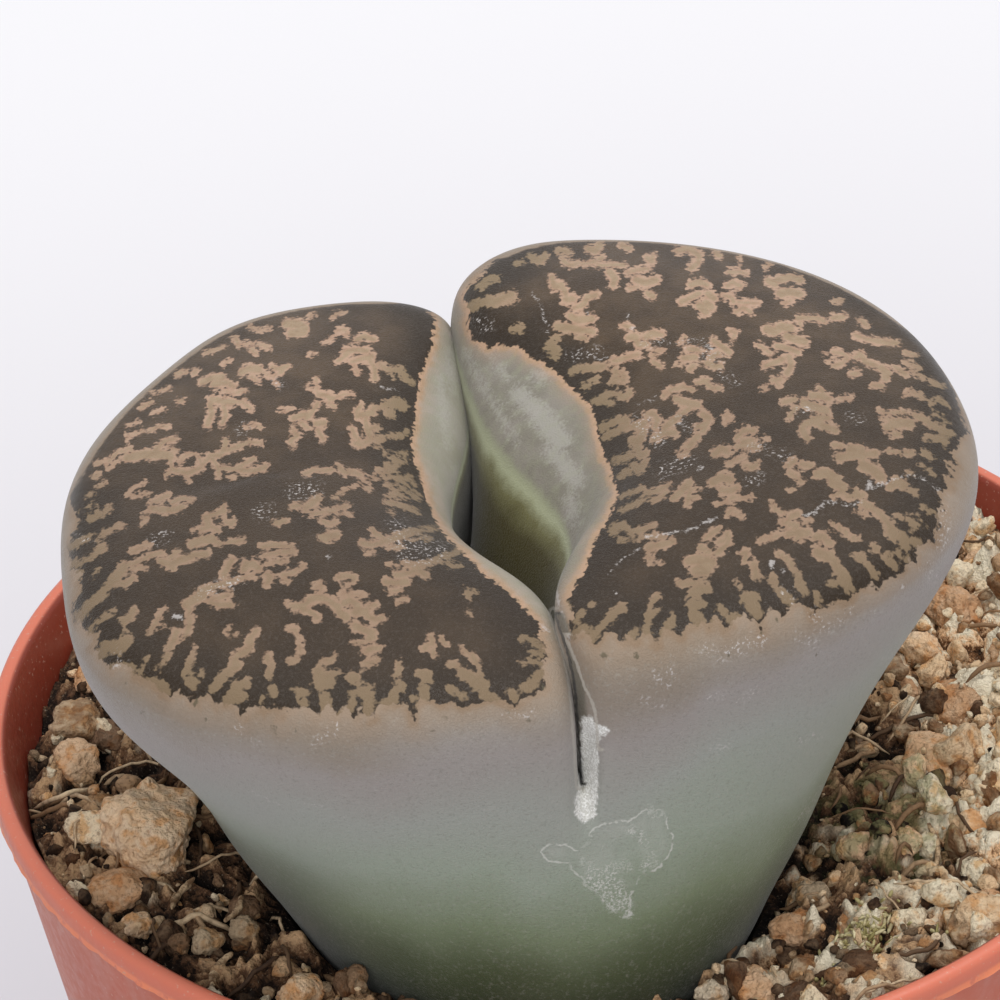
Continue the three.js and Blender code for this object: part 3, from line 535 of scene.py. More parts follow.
RIGHT_ISLES = [
    (5, 465, 308, 476, 305, 488, 300), (5, 493, 303, 503, 298, 512, 294), (4, 508, 303, 516, 299),
    (4, 479, 288, 488, 280, 498, 279), (5, 531, 257, 539, 261, 545, 257), (3, 515, 264, 523, 262),
    (4, 558, 251, 569, 252), (4, 563, 261, 571, 266, 578, 263), (4, 583, 264, 593, 262, 602, 258),
    (5, 588, 249, 596, 251, 600, 245), (3.5, 597, 265, 610, 265, 624, 265),
    (6, 609, 272, 615, 278, 613, 284), (4, 627, 273, 638, 270, 648, 269),
    (6, 636, 280, 646, 283, 656, 280), (4, 629, 288, 638, 287), (5, 648, 293, 653, 297),
    (4, 647, 258, 652, 262, 653, 255), (4, 622, 245, 630, 249),
    (5, 677, 251, 689, 249, 699, 255, 698, 263, 691, 268), (5, 691, 285, 699, 282, 707, 285),
    (5, 681, 302, 690, 298, 699, 294), (6, 699, 305, 706, 311), (5, 552, 277, 554, 287, 561, 285),
    (5, 563, 288, 566, 294), (6, 566, 300, 573, 299), (5, 574, 308, 583, 305, 588, 297, 596, 295),
    (6, 571, 316, 578, 320, 592, 319), (6, 558, 327, 569, 327, 580, 330, 591, 331),
    (5, 580, 338, 585, 338), (5, 558, 337, 551, 344, 547, 349), (5, 556, 348, 557, 357),
    (4, 513, 330, 521, 327), (1.8, 523, 333, 524, 334),
    (5, 573, 372, 582, 368, 592, 368, 604, 366), (4, 584, 387, 592, 382, 597, 377),
    (4, 594, 402, 603, 397, 612, 393), (3, 607, 404, 612, 403), (5, 613, 382, 617, 375, 615, 369),
    (5, 624, 374, 623, 381), (5, 630, 392, 626, 397, 619, 395), (5, 614, 361, 625, 358, 638, 354),
    (4, 623, 325, 630, 327), (5, 628, 338, 635, 336, 638, 345, 647, 344),
    (5, 646, 338, 653, 333, 662, 335), (4, 652, 356, 657, 351, 663, 350), (4, 653, 362, 661, 366),
    (4, 680, 342, 685, 337), (5, 689, 349, 699, 350), (5, 683, 358, 695, 357),
    (3, 675, 365, 683, 362), (4, 689, 370, 693, 366), (4, 663, 395, 673, 389, 683, 387, 693, 390),
    (5, 675, 398, 683, 402, 698, 405), (4, 683, 413, 690, 408),
    (4.5, 646, 415, 653, 413, 658, 420, 655, 427), (5, 665, 428, 672, 421, 679, 416),
    (5, 654, 439, 663, 433, 675, 433), (5, 603, 428, 613, 422, 627, 419),
    (4, 605, 437, 616, 432, 629, 426), (5, 634, 426, 645, 423), (6, 634, 441, 640, 440, 643, 432),
    (5, 697, 427, 707, 423), (5, 688, 446, 698, 436), (4, 697, 383, 708, 380),
    (4, 715, 252, 720, 256), (3, 739, 257, 740, 264), (4, 728, 272, 738, 271, 747, 274),
    (4, 766, 267, 769, 264), (5, 768, 280, 774, 284), (5, 778, 280, 790, 277, 800, 280),
    (6, 780, 294, 790, 292, 800, 294), (4, 784, 303, 792, 300),
    (4.5, 727, 286, 733, 282, 741, 286), (5, 724, 296, 730, 296, 734, 302),
    (4.5, 738, 302, 747, 303, 757, 303), (4.5, 736, 312, 743, 307, 751, 312),
    (6, 708, 294, 714, 298), (6, 706, 303, 711, 307), (2.5, 702, 317, 704, 316),
    (4, 730, 331, 736, 332, 732, 340), (5, 714, 341, 721, 346, 729, 352), (5, 711, 357, 718, 353),
    (4.5, 707, 363, 715, 366, 721, 367), (4, 703, 380, 712, 388, 719, 388),
    (4, 763, 388, 767, 388), (6, 767, 329, 774, 332, 781, 327, 791, 328),
    (6, 787, 336, 797, 340, 805, 342), (4, 758, 345, 765, 349, 770, 353),
    (5, 777, 346, 787, 348, 798, 352), (5, 783, 359, 773, 363, 765, 366),
    (5, 789, 357, 791, 366, 787, 373), (4, 781, 379, 772, 380), (3, 776, 382, 779, 386),
    (4, 797, 318, 808, 318, 817, 318, 825, 322), (3.5, 800, 322, 801, 327),
    (4.5, 833, 318, 843, 317), (4, 860, 320, 867, 326), (3, 833, 301, 843, 302),
    (4, 855, 335, 867, 339, 883, 342, 897, 343), (2, 822, 354, 826, 354),
    (2.5, 828, 362, 833, 358), (4, 834, 366, 842, 363, 848, 358, 842, 353, 833, 352),
    (4.5, 855, 358, 860, 353, 865, 362, 875, 365), (5, 881, 368, 888, 373, 885, 379),
    (4.5, 873, 385, 882, 386), (4, 895, 367, 906, 374), (3, 910, 370, 922, 377),
    (3, 904, 362, 921, 368), (3, 905, 352, 916, 356), (3, 931, 381, 944, 388),
    (4.5, 852, 374, 858, 373), (4, 839, 399, 851, 398), (3.5, 905, 395, 910, 391, 922, 397),
    (2.5, 931, 402, 933, 404), (3, 934, 396, 949, 405), (4, 783, 402, 795, 399),
    (4, 789, 417, 796, 408), (4, 819, 388, 823, 392), (5, 811, 396, 820, 396, 829, 399),
    (6, 804, 403, 815, 407, 826, 410), (4.5, 817, 417, 829, 418),
    (5, 804, 425, 813, 420, 823, 426, 836, 430), (5, 802, 430, 808, 439),
    (3.5, 879, 411, 892, 413, 906, 412), (6, 887, 428, 898, 423, 911, 423),
    (4.5, 893, 435, 899, 434), (4.5, 915, 415, 925, 420, 937, 428, 951, 435),
    (3, 882, 418, 897, 420), (2.5, 933, 413, 949, 421), (4, 926, 437, 936, 438, 947, 443),
    (4, 724, 416, 731, 419), (3.5, 725, 422, 728, 414), (6, 703, 415, 709, 418),
    (5, 703, 430, 706, 424), (5, 736, 438, 744, 430, 754, 431), (5, 742, 441, 752, 440),
    (3, 763, 438, 767, 439), (4, 718, 448, 728, 449), (4, 614, 462, 626, 457, 634, 455),
    (5, 637, 446, 640, 455), (4, 641, 456, 646, 453), (5, 634, 465, 638, 470, 645, 463),
    (4, 620, 477, 629, 471), (3.5, 678, 455, 687, 452, 694, 443), (3.5, 681, 449, 688, 445),
    (5, 714, 454, 722, 448, 728, 452), (4, 728, 463, 738, 459, 744, 457),
    (5, 737, 447, 747, 445, 757, 447), (4.5, 744, 465, 753, 468, 757, 464),
    (6, 713, 482, 722, 477, 731, 480), (5, 721, 490, 729, 491, 737, 488),
    (4, 730, 497, 740, 498, 751, 497), (3.5, 716, 504, 730, 502),
    (4, 727, 515, 732, 509, 742, 516), (3, 622, 497, 633, 492, 644, 487),
    (3, 621, 510, 633, 505, 645, 499), (4, 647, 493, 657, 491, 669, 485),
    (3.5, 653, 501, 661, 497, 667, 492), (5, 673, 498, 682, 491, 689, 483),
    (4, 687, 498, 697, 497), (4, 687, 504, 690, 490), (3, 694, 488, 698, 489),
    (5, 613, 531, 620, 525, 626, 527), (4, 630, 532, 641, 531, 654, 525),
    (3.5, 621, 541, 631, 537), (4, 640, 538, 653, 537, 666, 536),
    (5, 648, 547, 660, 545, 673, 541), (4.5, 648, 554, 651, 561), (2.5, 660, 563, 663, 563),
    (4.5, 706, 538, 713, 532, 719, 529), (5, 727, 533, 729, 540, 726, 546, 718, 552),
    (4, 719, 541, 725, 540), (4.5, 700, 547, 710, 552), (6, 688, 561, 700, 560, 712, 563),
    (7, 696, 571, 706, 571), (5, 679, 583, 690, 583, 700, 584), (6, 692, 593, 701, 590, 707, 589),
    (6, 691, 603, 701, 604), (6, 694, 614, 700, 620), (4.5, 741, 554, 747, 552, 745, 560),
    (5, 754, 564, 757, 577), (3.5, 737, 582, 741, 589), (6, 745, 598, 755, 597),
    (6, 749, 607, 757, 613), (5, 720, 608, 725, 613), (6, 731, 619, 739, 622),
    (3, 590, 604, 594, 602), (3, 575, 620, 583, 612), (4, 565, 608, 567, 606),
    (5, 592, 637, 603, 625, 612, 615), (5, 613, 615, 622, 607), (6, 573, 637, 584, 628),
    (4.5, 631, 637, 635, 630), (4.5, 647, 638, 647, 625, 650, 612), (4, 652, 604, 658, 595),
    (3.5, 654, 611, 658, 609), (5, 665, 633, 670, 624), (4, 672, 616, 670, 622),
    (5, 688, 633, 694, 628), (4.5, 713, 628, 716, 622), (4, 834, 445, 843, 446),
    (6, 850, 449, 861, 450), (5, 838, 457, 853, 456, 876, 454), (7, 863, 465, 873, 470, 881, 477),
    (3.5, 888, 451, 900, 453, 912, 453), (4, 923, 452, 932, 457), (3, 920, 465, 934, 474),
    (5, 788, 465, 795, 461), (5, 801, 464, 811, 466), (4, 789, 472, 796, 476, 802, 482),
    (6, 817, 474, 827, 473, 837, 479), (6, 832, 483, 843, 487), (4, 833, 496, 843, 492),
    (4, 847, 497, 855, 496, 863, 495), (4, 856, 490, 858, 493),
    (5, 863, 504, 875, 509, 885, 520, 894, 530), (4.5, 895, 531, 906, 538, 918, 543),
    (4, 857, 512, 867, 514), (4, 888, 532, 897, 539, 908, 547), (2.5, 788, 489, 793, 489),
    (4, 772, 503, 775, 510, 784, 513), (5, 790, 517, 798, 514), (3, 803, 522, 811, 521),
    (5, 782, 522, 797, 526), (4, 760, 540, 770, 537, 779, 535), (6, 787, 534, 798, 533, 808, 533),
    (4, 795, 539, 802, 540), (6, 815, 537, 824, 537, 830, 543), (7, 817, 552, 830, 557),
    (6, 833, 560, 839, 568), (6, 838, 570, 846, 580, 850, 590), (3.5, 827, 583, 837, 585),
    (4.5, 833, 523, 840, 528, 846, 533), (4.5, 851, 537, 858, 539),
    (4.5, 778, 554, 787, 558, 793, 567), (5, 796, 573, 800, 582, 805, 592),
    (5, 772, 578, 775, 583), (5, 780, 591, 790, 602), (4.5, 816, 594, 820, 602),
    (4.5, 872, 545, 877, 549), (4, 884, 554, 896, 568), (4, 854, 555, 864, 562),
    (5, 868, 566, 875, 576), (3, 860, 553, 865, 558), (3.5, 893, 552, 908, 559),
    (6, 890, 487, 897, 481, 904, 486), (4, 906, 488, 916, 493), (3, 907, 472, 912, 474),
    (4, 898, 515, 907, 519, 915, 526), (2.5, 914, 515, 925, 527),
    (3.5, 923, 506, 930, 511, 937, 518),
]

# The edge of the dark zone on each leaf, with its teeth, as x and y in the picture's pixels.
# The edge behind the leaf's far side is only a guess.

LEFT_WINDOW = [
    (30, 470), (100, 380), (180, 320), (280, 270), (400, 270), (434, 318), (432, 345), (428, 355),
    (425, 365), (420, 375), (420, 382), (418, 395), (415, 405), (416, 415), (413, 428), (411, 448),
    (414, 457), (417, 467), (421, 478), (424, 490), (428, 503), (433, 515), (440, 528), (450, 542),
    (460, 550), (473, 563), (483, 575), (497, 583), (508, 593), (520, 603), (527, 612), (537, 622),
    (542, 631), (536, 636), (545, 646), (547, 656), (541, 668), (546, 683), (545, 688), (532, 696),
    (520, 702), (514, 706), (500, 701), (488, 700), (480, 703), (468, 706), (462, 706), (452, 702),
    (440, 705), (432, 700), (422, 699), (417, 707), (414, 722), (409, 708), (404, 700), (398, 703),
    (388, 704), (378, 706), (374, 721), (370, 716), (360, 706), (357, 722), (353, 713), (345, 705),
    (338, 717), (333, 708), (330, 700), (319, 717), (311, 712), (305, 703), (299, 709), (290, 708),
    (284, 702), (281, 719), (276, 704), (265, 712), (258, 706), (248, 707), (243, 719), (238, 707),
    (225, 703), (217, 707), (213, 700), (208, 696), (200, 694), (195, 707), (189, 697), (180, 690),
    (170, 698), (166, 694), (160, 690), (150, 683), (140, 679), (135, 676), (130, 665), (118, 664),
    (112, 671), (108, 664), (100, 659), (97, 650), (93, 651), (98, 640), (100, 630), (88, 634),
    (83, 629), (79, 628), (86, 616), (74, 622), (72, 606), (82, 592), (78, 580), (83, 572),
    (71, 571), (70, 562), (66, 546), (75, 531), (79, 519), (70, 500),
]
RIGHT_WINDOW = [
    (472, 340), (467, 325), (470, 312), (462, 296), (484, 272), (508, 250), (540, 225), (600, 205),
    (700, 200), (790, 225), (870, 275), (930, 320), (952, 360), (956, 390), (958, 408), (962, 420),
    (970, 433), (957, 441), (958, 449), (948, 452), (957, 467), (945, 462), (954, 477), (942, 475),
    (950, 489), (940, 491), (938, 500), (945, 513), (937, 511), (941, 529), (930, 530), (936, 542),
    (925, 543), (918, 545), (915, 553), (917, 563), (908, 560), (905, 571), (897, 575), (885, 578),
    (878, 592), (871, 584), (866, 588), (858, 591), (850, 600), (843, 603), (835, 600), (828, 607),
    (820, 606), (813, 619), (808, 606), (800, 603), (790, 606), (783, 618), (778, 612), (770, 608),
    (765, 613), (762, 633), (757, 618), (752, 622), (745, 615), (735, 618), (727, 632), (720, 622),
    (714, 615), (710, 628), (704, 618), (697, 626), (690, 624), (680, 637), (672, 632), (663, 628),
    (656, 644), (650, 634), (643, 630), (637, 644), (630, 632), (620, 643), (612, 632), (605, 634),
    (597, 646), (590, 636), (583, 629), (575, 638), (569, 640), (568, 626), (573, 618), (572, 608),
    (567, 600), (572, 590), (580, 578), (587, 565), (593, 548), (598, 535), (607, 525), (613, 507),
    (617, 498), (617, 488), (612, 478), (610, 465), (603, 457), (602, 447), (598, 435), (595, 418),
    (592, 408), (583, 398), (577, 392), (567, 385), (560, 375), (550, 368), (543, 362), (530, 357),
    (522, 348), (513, 345), (497, 345), (488, 348), (480, 342),
]

# Small dark dots on the pale skin below the margins.
DOTS = [
    (3, 274, 726, 274, 733), (2.5, 195, 705, 197, 701), (2, 142, 712, 143, 713),
    (2, 204, 719, 206, 720), (3, 603, 655, 605, 656), (2.5, 636, 655, 637, 657),
    (2.5, 528, 720, 529, 721), (2, 444, 718, 446, 718), (2, 434, 730, 433, 731),
    (2, 507, 710, 509, 712), (2, 541, 685, 544, 688), (2, 728, 654, 729, 656),
    (2, 296, 729, 297, 730), (2, 762, 632, 762, 634), (2, 816, 654, 817, 655),
    (2, 126, 683, 127, 683), (2, 240, 742, 241, 742), (2, 776, 619, 777, 621),
]

# Thin white scratches, salt grains and scuffed places.
SCRATCHES = [
    (1.6, 645, 537, 670, 533, 682, 531, 700, 527), (2, 704, 523, 716, 518),
    (1, 607, 575, 616, 564, 629, 554, 645, 547), (1.4, 697, 470, 703, 467),
    (1.2, 531, 293, 540, 303, 544, 320, 549, 325, 546, 340), (1.6, 587, 312, 588, 313),
    (2, 803, 515, 815, 513, 820, 507, 825, 502, 836, 503), (1.2, 836, 503, 850, 506, 862, 502),
    (2.5, 868, 483, 874, 488), (2, 867, 489, 869, 482),
    (1.8, 878, 484, 890, 482, 900, 477, 913, 475, 926, 480), (1.4, 926, 480, 937, 488, 948, 496),
    (3, 771, 561, 772, 568), (2.5, 782, 569, 784, 571), (2.5, 901, 586, 903, 588),
    (2.6, 852, 608, 853, 610), (2.6, 873, 612, 878, 611), (2, 792, 603, 793, 604),
    (3.4, 175, 617, 180, 617), (2, 631, 328, 634, 328), (1.5, 627, 318, 629, 314),
    (2, 540, 624, 549, 633), (1.3, 392, 388, 402, 393), (1.2, 380, 386, 390, 390),
    (2.2, 557, 592, 559, 606), (2.2, 562, 612, 565, 628), (1.5, 326, 556, 329, 557),
    (1.6, 115, 655, 118, 658), (2, 113, 667, 122, 665), (1.6, 598, 359, 612, 357),
    (1.2, 638, 406, 648, 400), (1.2, 652, 402, 656, 397), (1.4, 676, 417, 680, 416),
    (1.3, 748, 446, 760, 446), (2, 707, 346, 712, 349), (1.2, 226, 809, 228, 807),
    (1.5, 570, 640, 567, 628), (1.5, 614, 587, 616, 594), (0.9, 244, 788, 262, 796, 280, 806),
    (1, 303, 805, 316, 806, 330, 808), (0.8, 340, 815, 352, 820), (0.9, 470, 808, 500, 810),
    (0.8, 800, 748, 812, 738), (0.8, 818, 732, 824, 742, 829, 752), (0.9, 716, 749, 730, 746),
]
SCUFFS = [
    (7, 155, 540, 166, 534), (5, 200, 594, 214, 588), (6, 212, 586, 238, 582),
    (6, 278, 383, 281, 385), (6, 240, 431, 246, 428), (9, 294, 490, 315, 488),
    (7, 258, 512, 270, 511), (6, 80, 536, 88, 540), (9, 400, 542, 440, 550),
    (8, 405, 556, 430, 556), (6, 390, 524, 405, 526), (9, 480, 322, 485, 326),
    (5, 568, 357, 600, 354), (6, 592, 354, 598, 350), (4, 645, 342, 700, 342),
    (7, 704, 352, 716, 358), (6, 722, 376, 735, 380), (5, 850, 417, 860, 419),
    (6, 800, 412, 808, 410), (5, 770, 452, 788, 456), (6, 748, 482, 760, 478),
    (6, 945, 512, 944, 545), (7, 928, 566, 938, 582), (5, 814, 613, 822, 626, 832, 630),
    (5, 832, 630, 842, 620, 850, 612), (7, 800, 636, 815, 645), (6, 744, 636, 750, 640),
    (7, 707, 650, 712, 656), (4, 785, 590, 790, 596), (8, 640, 420, 660, 440),
    (8, 660, 470, 690, 462), (6, 115, 655, 120, 662), (5, 240, 728, 246, 732),
    (6, 318, 738, 332, 732), (6, 680, 420, 690, 426), (5, 755, 448, 762, 446),
    (8, 722, 655, 760, 640), (6, 668, 670, 672, 674), (6, 802, 742, 812, 738),
    (7, 656, 676, 668, 684), (6, 802, 818, 812, 802, 822, 790), (4, 810, 736, 826, 734),
    (4, 716, 748, 730, 746), (5, 236, 726, 256, 742), (5, 312, 742, 338, 728),
    (4, 884, 664, 896, 652), (4, 500, 716, 530, 712), (4, 700, 700, 720, 694),
    (4, 640, 700, 668, 706), (4, 740, 700, 760, 690),
]

# The grey bloom on the bands beside the cleft.
BLOOM = [
    (2.5, 440, 378, 444, 410, 447, 446), (2, 449, 352, 452, 392), (2, 455, 470, 460, 500),
    (2.5, 467, 352, 478, 378, 492, 402, 506, 424, 516, 442), (2, 481, 345, 496, 362, 508, 380),
    (10, 520, 395, 532, 408), (12, 540, 415, 560, 440), (7, 538, 375, 543, 373),
    (9, 552, 450, 575, 480), (6, 570, 500, 574, 520), (4, 565, 455, 572, 478),
]

# The white lime crust in the foot of the slit.
CRUST = [
    (5, 587, 722, 589, 735), (7, 589, 735, 589, 765), (7.5, 588, 765, 588, 795),
    (9, 586, 800, 585, 812), (3, 596, 729, 604, 731),
]
# The groove under the slit, where its two edges meet.
GROOVE = [
    (13, 588, 740, 588, 770, 587, 800, 586, 812),
]
# The line where the leaves touch at the front, from the top down, and how wide its rims are.
SEAM = [
    (553, 612), (559, 630), (566, 650), (572, 675), (575, 700), (577, 730), (579, 760), (580, 785),
]
SEAM_RIM = 9
# The right leaf's rolled edge beside the seam, from the top down.
RIM = [
    (563, 634), (569, 645), (576, 662), (584, 686), (593, 704), (596, 716), (597, 730), (598, 750),
]
# The outline of the dried splash on the flanks, under the slit.
SPLASH = [
    (542, 852), (545, 847), (551, 844), (560, 845), (568, 846), (576, 851), (584, 847), (590, 842),
    (589, 834), (595, 829), (604, 824), (613, 824), (621, 820), (628, 822), (637, 816), (642, 812),
    (648, 809), (653, 812), (657, 809), (664, 812), (668, 819), (665, 827), (670, 831), (674, 840),
    (671, 849), (669, 856), (662, 864), (655, 870), (647, 873), (640, 873), (638, 880), (635, 888),
    (629, 892), (630, 903), (632, 913), (622, 918), (616, 912), (606, 903), (598, 893), (588, 888),
    (583, 878), (574, 872), (570, 864), (558, 862), (548, 861),
]
# Where the splash has dried to grains.
GRAINS = [
    (10, 594, 880, 606, 886, 617, 902), (8, 612, 878, 622, 902), (5, 624, 904, 628, 912),
    (5, 645, 866, 654, 858), (5, 612, 866, 626, 866), (5, 638, 834, 646, 842),
    (4, 630, 830, 634, 832), (4, 650, 812, 662, 816), (4, 584, 862, 592, 866),
]


def stroke_depth(spots, strokes):
    """How deep inside the nearest brush stroke each spot lies, in pixels."""
    deepest = np.full(len(spots), -NEAR)
    for half_width, *flat in strokes:
        line = np.array(flat, float).reshape(-1, 2)
        close = np.all((spots > line.min(0) - NEAR) & (spots < line.max(0) + NEAR), axis=1)
        here = spots[close]
        if not len(here):
            continue
        away = np.full(len(here), NEAR + half_width)
        for start, end in zip(line[:-1], line[1:]):
            away = np.minimum(away, segment_distance(here, start, end))
        deepest[close] = np.maximum(deepest[close], half_width - away)
    return deepest


def segment_distance(spots, start, end):
    run = end - start
    share = np.clip((spots - start) @ run / (run @ run), 0, 1)
    return np.hypot(*(spots - start - share[:, None] * run).T)


def region_depth(spots, corners):
    """How deep inside a closed outline each spot lies, in pixels: below 0 outside."""
    corners = np.array(corners, float)
    away = np.full(len(spots), 1e6)
    inside = np.zeros(len(spots), bool)
    for start, end in zip(corners, np.roll(corners, -1, axis=0)):
        away = np.minimum(away, segment_distance(spots, start, end))
        crosses = (start[1] > spots[:, 1]) != (end[1] > spots[:, 1])
        rise = (spots[:, 1] - start[1]) / (end[1] - start[1] if end[1] != start[1] else 1)
        inside ^= crosses & (spots[:, 0] < start[0] + rise * (end[0] - start[0]))
    return np.where(inside, away, -away)


# ---- the pair of leaves ----

# The widths are the solid's. The cleft is drawn finer than the solid's, and lies beside it.
ROOT = [0.4, 1.0, 2.2]
HEIGHT_KEYS = [12, 17, 24, 30, 38, 45.7, 49, 52.5, 56, 59.5, 62.4, 63.3, 64.2]
LEFT_WIDTH = keyed(HEIGHT_KEYS, [*ROOT, 4.2, 9.2, 13, 14.7, 16, 17.6, 19.3, 20.1, 19.9, 19.1])
RIGHT_WIDTH = keyed(HEIGHT_KEYS, [*ROOT, 4.2, 8, 11, 12.8, 14.3, 16.3, 19, 20.2, 20, 19.2])
FRONT_WIDTH = keyed(HEIGHT_KEYS, [*ROOT, 4.6, 10.5, 15.6, 16, 16.3, 16.7, 17.3, 17.8, 17.6, 16.8])
LEFT_BACK = keyed(HEIGHT_KEYS, [*ROOT, 4.2, 8, 11, 12.2, 13.3, 14.7, 16.4, 17.4, 17.2, 16.5])
RIGHT_BACK = keyed(HEIGHT_KEYS, [*ROOT, 4.2, 8, 11, 12.2, 13.5, 15.1, 17, 18.1, 17.9, 17.2])
FRONT_CORNER_KEYS = [57, 58.2, 60, 62.4, 64.2]
BACK_CORNER_KEYS = [57, 59, 62.4, 64.2]

CLEFT_KEYS = [-18, -15, -12.5, -10, -7.5, -5.5, -1.5, 2.5, 6, 12, 15, 19]
CLEFT_FLOOR = keyed([-17, -13, -8, -3, 4, 10, 15], [57, 56.5, 56, 55.5, 55.5, 56, 57])
CLEFT_MIDDLE = keyed(
    [-18, -14, -10.5, -8, -5.5, -1.5, 2.5, 6, 10, 19],
    [-0.85, -1.0, -1.2, -2.6, -4.0, -5.0, -3.4, -1.3, -0.4, 0.05],
)


class Leaf:
    """One leaf of the pair: the section's widths, the cleft's wall and the rounded corners."""

    def __init__(self, side, lift, width, back, front_square, back_square, centre, lip, edge,
                 front_corner, back_corner):
        self.side = side
        self.lift = lift
        self.width = width
        self.back = back
        self.front_square = front_square
        self.back_square = back_square
        self.centre = np.array(centre)
        self.lip = keyed(CLEFT_KEYS, lip)
        self.edge = keyed(CLEFT_KEYS, edge)
        self.front_corner = keyed(FRONT_CORNER_KEYS, front_corner)
        self.back_corner = keyed(BACK_CORNER_KEYS, back_corner)

    def lifted(self, height):
        """A height of the leaf as a height of the model: the right leaf stands taller."""
        return height + self.lift * smooth_step(height, *LIFT_SPAN)

    def squareness(self, end, height):
        """The power of the outline's curve: 2 is an ellipse, and more is squarer."""
        head = np.where(end < 0, self.front_square, self.back_square)
        return 2 + (head - 2) * smooth_step(height, *SQUARE_SPAN)

    def reach(self, end, height):
        """How far the outline goes along the cleft, at the front or the back."""
        return np.where(end < 0, FRONT_WIDTH(height), self.back(height))

    def outline(self, angle, height):
        """The leaf's half of the outline, met by rays at the given angles."""
        across, along = np.cos(angle), np.sin(angle)
        power = self.squareness(along, height)
        inverse = np.abs(across / self.width(height)) ** power
        inverse += np.abs(along / self.reach(along, height)) ** power
        radius = inverse ** (-1 / power)
        return np.stack([radius * across * self.side, radius * along], axis=-1)

    def face_height(self, flat, share):
        """The face's height: a low dome that comes down to the outline and the cleft's edge."""
        across, along = flat[:, 0], flat[:, 1]
        width = self.width(FACE_LEVEL)
        power = self.squareness(along, FACE_LEVEL)
        used = np.abs(across / width) ** power
        used += np.abs(along / self.reach(along, FACE_LEVEL)) ** power
        inward = np.maximum(0, self.side * (across - self.edge(along)))
        dome = np.maximum(0, 1 - used) * (1 - np.exp(-inward / 3.5))
        return self.lifted(FACE_LEVEL) + DOME * 1.25 * dome * (1 - share ** 8)

    def outline_along(self, end, across, height):
        """Where the outline lies along the cleft, at a place across it."""
        power = self.squareness(end, height)
        share = np.maximum(0, across * self.side) / self.width(height)
        left = np.maximum(1e-6, 1 - share ** power)
        return end * self.reach(end, height) * left ** (1 / power)

    def wall(self, along, height):
        """Where the leaf's wall lies across the cleft, at places along it."""
        middle = CLEFT_MIDDLE(along)
        lip = self.lip(along)
        if height <= LIP_LEVEL:
            opened = max(0, (height - CLEFT_START) / (LIP_LEVEL - CLEFT_START))
            return middle + (lip - middle) * opened ** 0.55
        slope = min(1, (height - LIP_LEVEL) / (FACE_LEVEL - LIP_LEVEL))
        return lip + (self.edge(along) - lip) * (0.75 * slope + 0.25 * slope * slope)

    def corner(self, end, height):
        """The rounded corner from the cleft's wall to the outline, at the front or the back."""
        radius = (self.front_corner if end < 0 else self.back_corner)(height)
        angle = np.linspace(0, np.pi / 2, CORNER_STEPS + 1)
        inward = radius * (1 - np.cos(angle))
        back = radius * (1 - np.sin(angle))
        along = np.full(CORNER_STEPS + 1, float(end * self.reach(end, height)))
        for _ in range(6):
            across = self.wall(along, height) + self.side * inward
            along = self.outline_along(end, across, height) - end * back
        return np.stack([across, along], axis=-1)

    def section(self, height, outer_columns, inner_columns):
        """The leaf's section at a height: its flank's line, then its line in the cleft."""
        front = self.corner(-1, height)
        back = self.corner(1, height)
        half = len(front) // 2
        outline = self.outline(np.linspace(-np.pi / 2, np.pi / 2, OUTLINE_STEPS), height)
        limit = np.where(outline[:, 1] < 0, self.side * front[-1, 0], self.side * back[-1, 0])
        outline = outline[self.side * outline[:, 0] > limit + 1e-6]
        outer = np.concatenate([front[half:], outline, back[half:][::-1]])
        along = np.linspace(back[0, 1], front[0, 1], WALL_STEPS)[1:-1]
        wall = np.stack([self.wall(along, height), along], axis=-1)
        inner = np.concatenate([back[:half + 1][::-1], wall, front[:half + 1]])
        return spread(outer, outer_columns, 0.45), spread(inner, inner_columns, 0.3)

    def trunk_half(self, height, columns):
        """One side of the section where the two leaves are still one."""
        shift = smooth_step(height, TRUNK_SHIFT_START, CLEFT_START)
        outline = self.outline(np.linspace(-np.pi / 2, np.pi / 2, OUTLINE_STEPS), height)
        outline = outline[self.side * outline[:, 0] > 0.05 * self.width(height)]
        front = [CLEFT_MIDDLE(-17) * shift, -FRONT_WIDTH(height)]
        back = [CLEFT_MIDDLE(15) * shift, 0.5 * (LEFT_BACK(height) + RIGHT_BACK(height))]
        return spread(np.concatenate([[front], outline, [back]]), columns, 0.45)


LEFT = Leaf(
    side=-1, lift=0, width=LEFT_WIDTH, back=LEFT_BACK, front_square=2.9, back_square=2.15,
    centre=(-11.2, 0.6),
    lip=[-0.85, -0.95, -0.9, -0.4, -0.85, -1.6, -3.0, -2.0, -0.85, -0.3, -0.15, 0],
    edge=[-0.9, -1.0, -1.0, -1.3, -2.4, -3.7, -5, -4.8, -3.7, -1.5, -0.6, -0.2],
    front_corner=[0.12, 0.4, 0.8, 1.3, 1.9], back_corner=[0.12, 1.4, 2.3, 2.9],
)
RIGHT = Leaf(
    side=1, lift=RIGHT_LIFT, width=RIGHT_WIDTH, back=RIGHT_BACK, front_square=2.3, back_square=2.2,
    centre=(11.4, 0.8),
    lip=[-0.75, -0.85, -0.8, -0.1, 1.1, 1.7, 1.2, -0.4, -0.7, -0.25, -0.05, 0.2],
    edge=[-0.8, -0.9, -0.8, 0.3, 2, 3.2, 4.2, 4.1, 3, 0.5, 0.2, 0.2],
    front_corner=[0.12, 1.1, 1.2, 1.2, 1.4], back_corner=[0.12, 2, 4.6, 5.4],
)


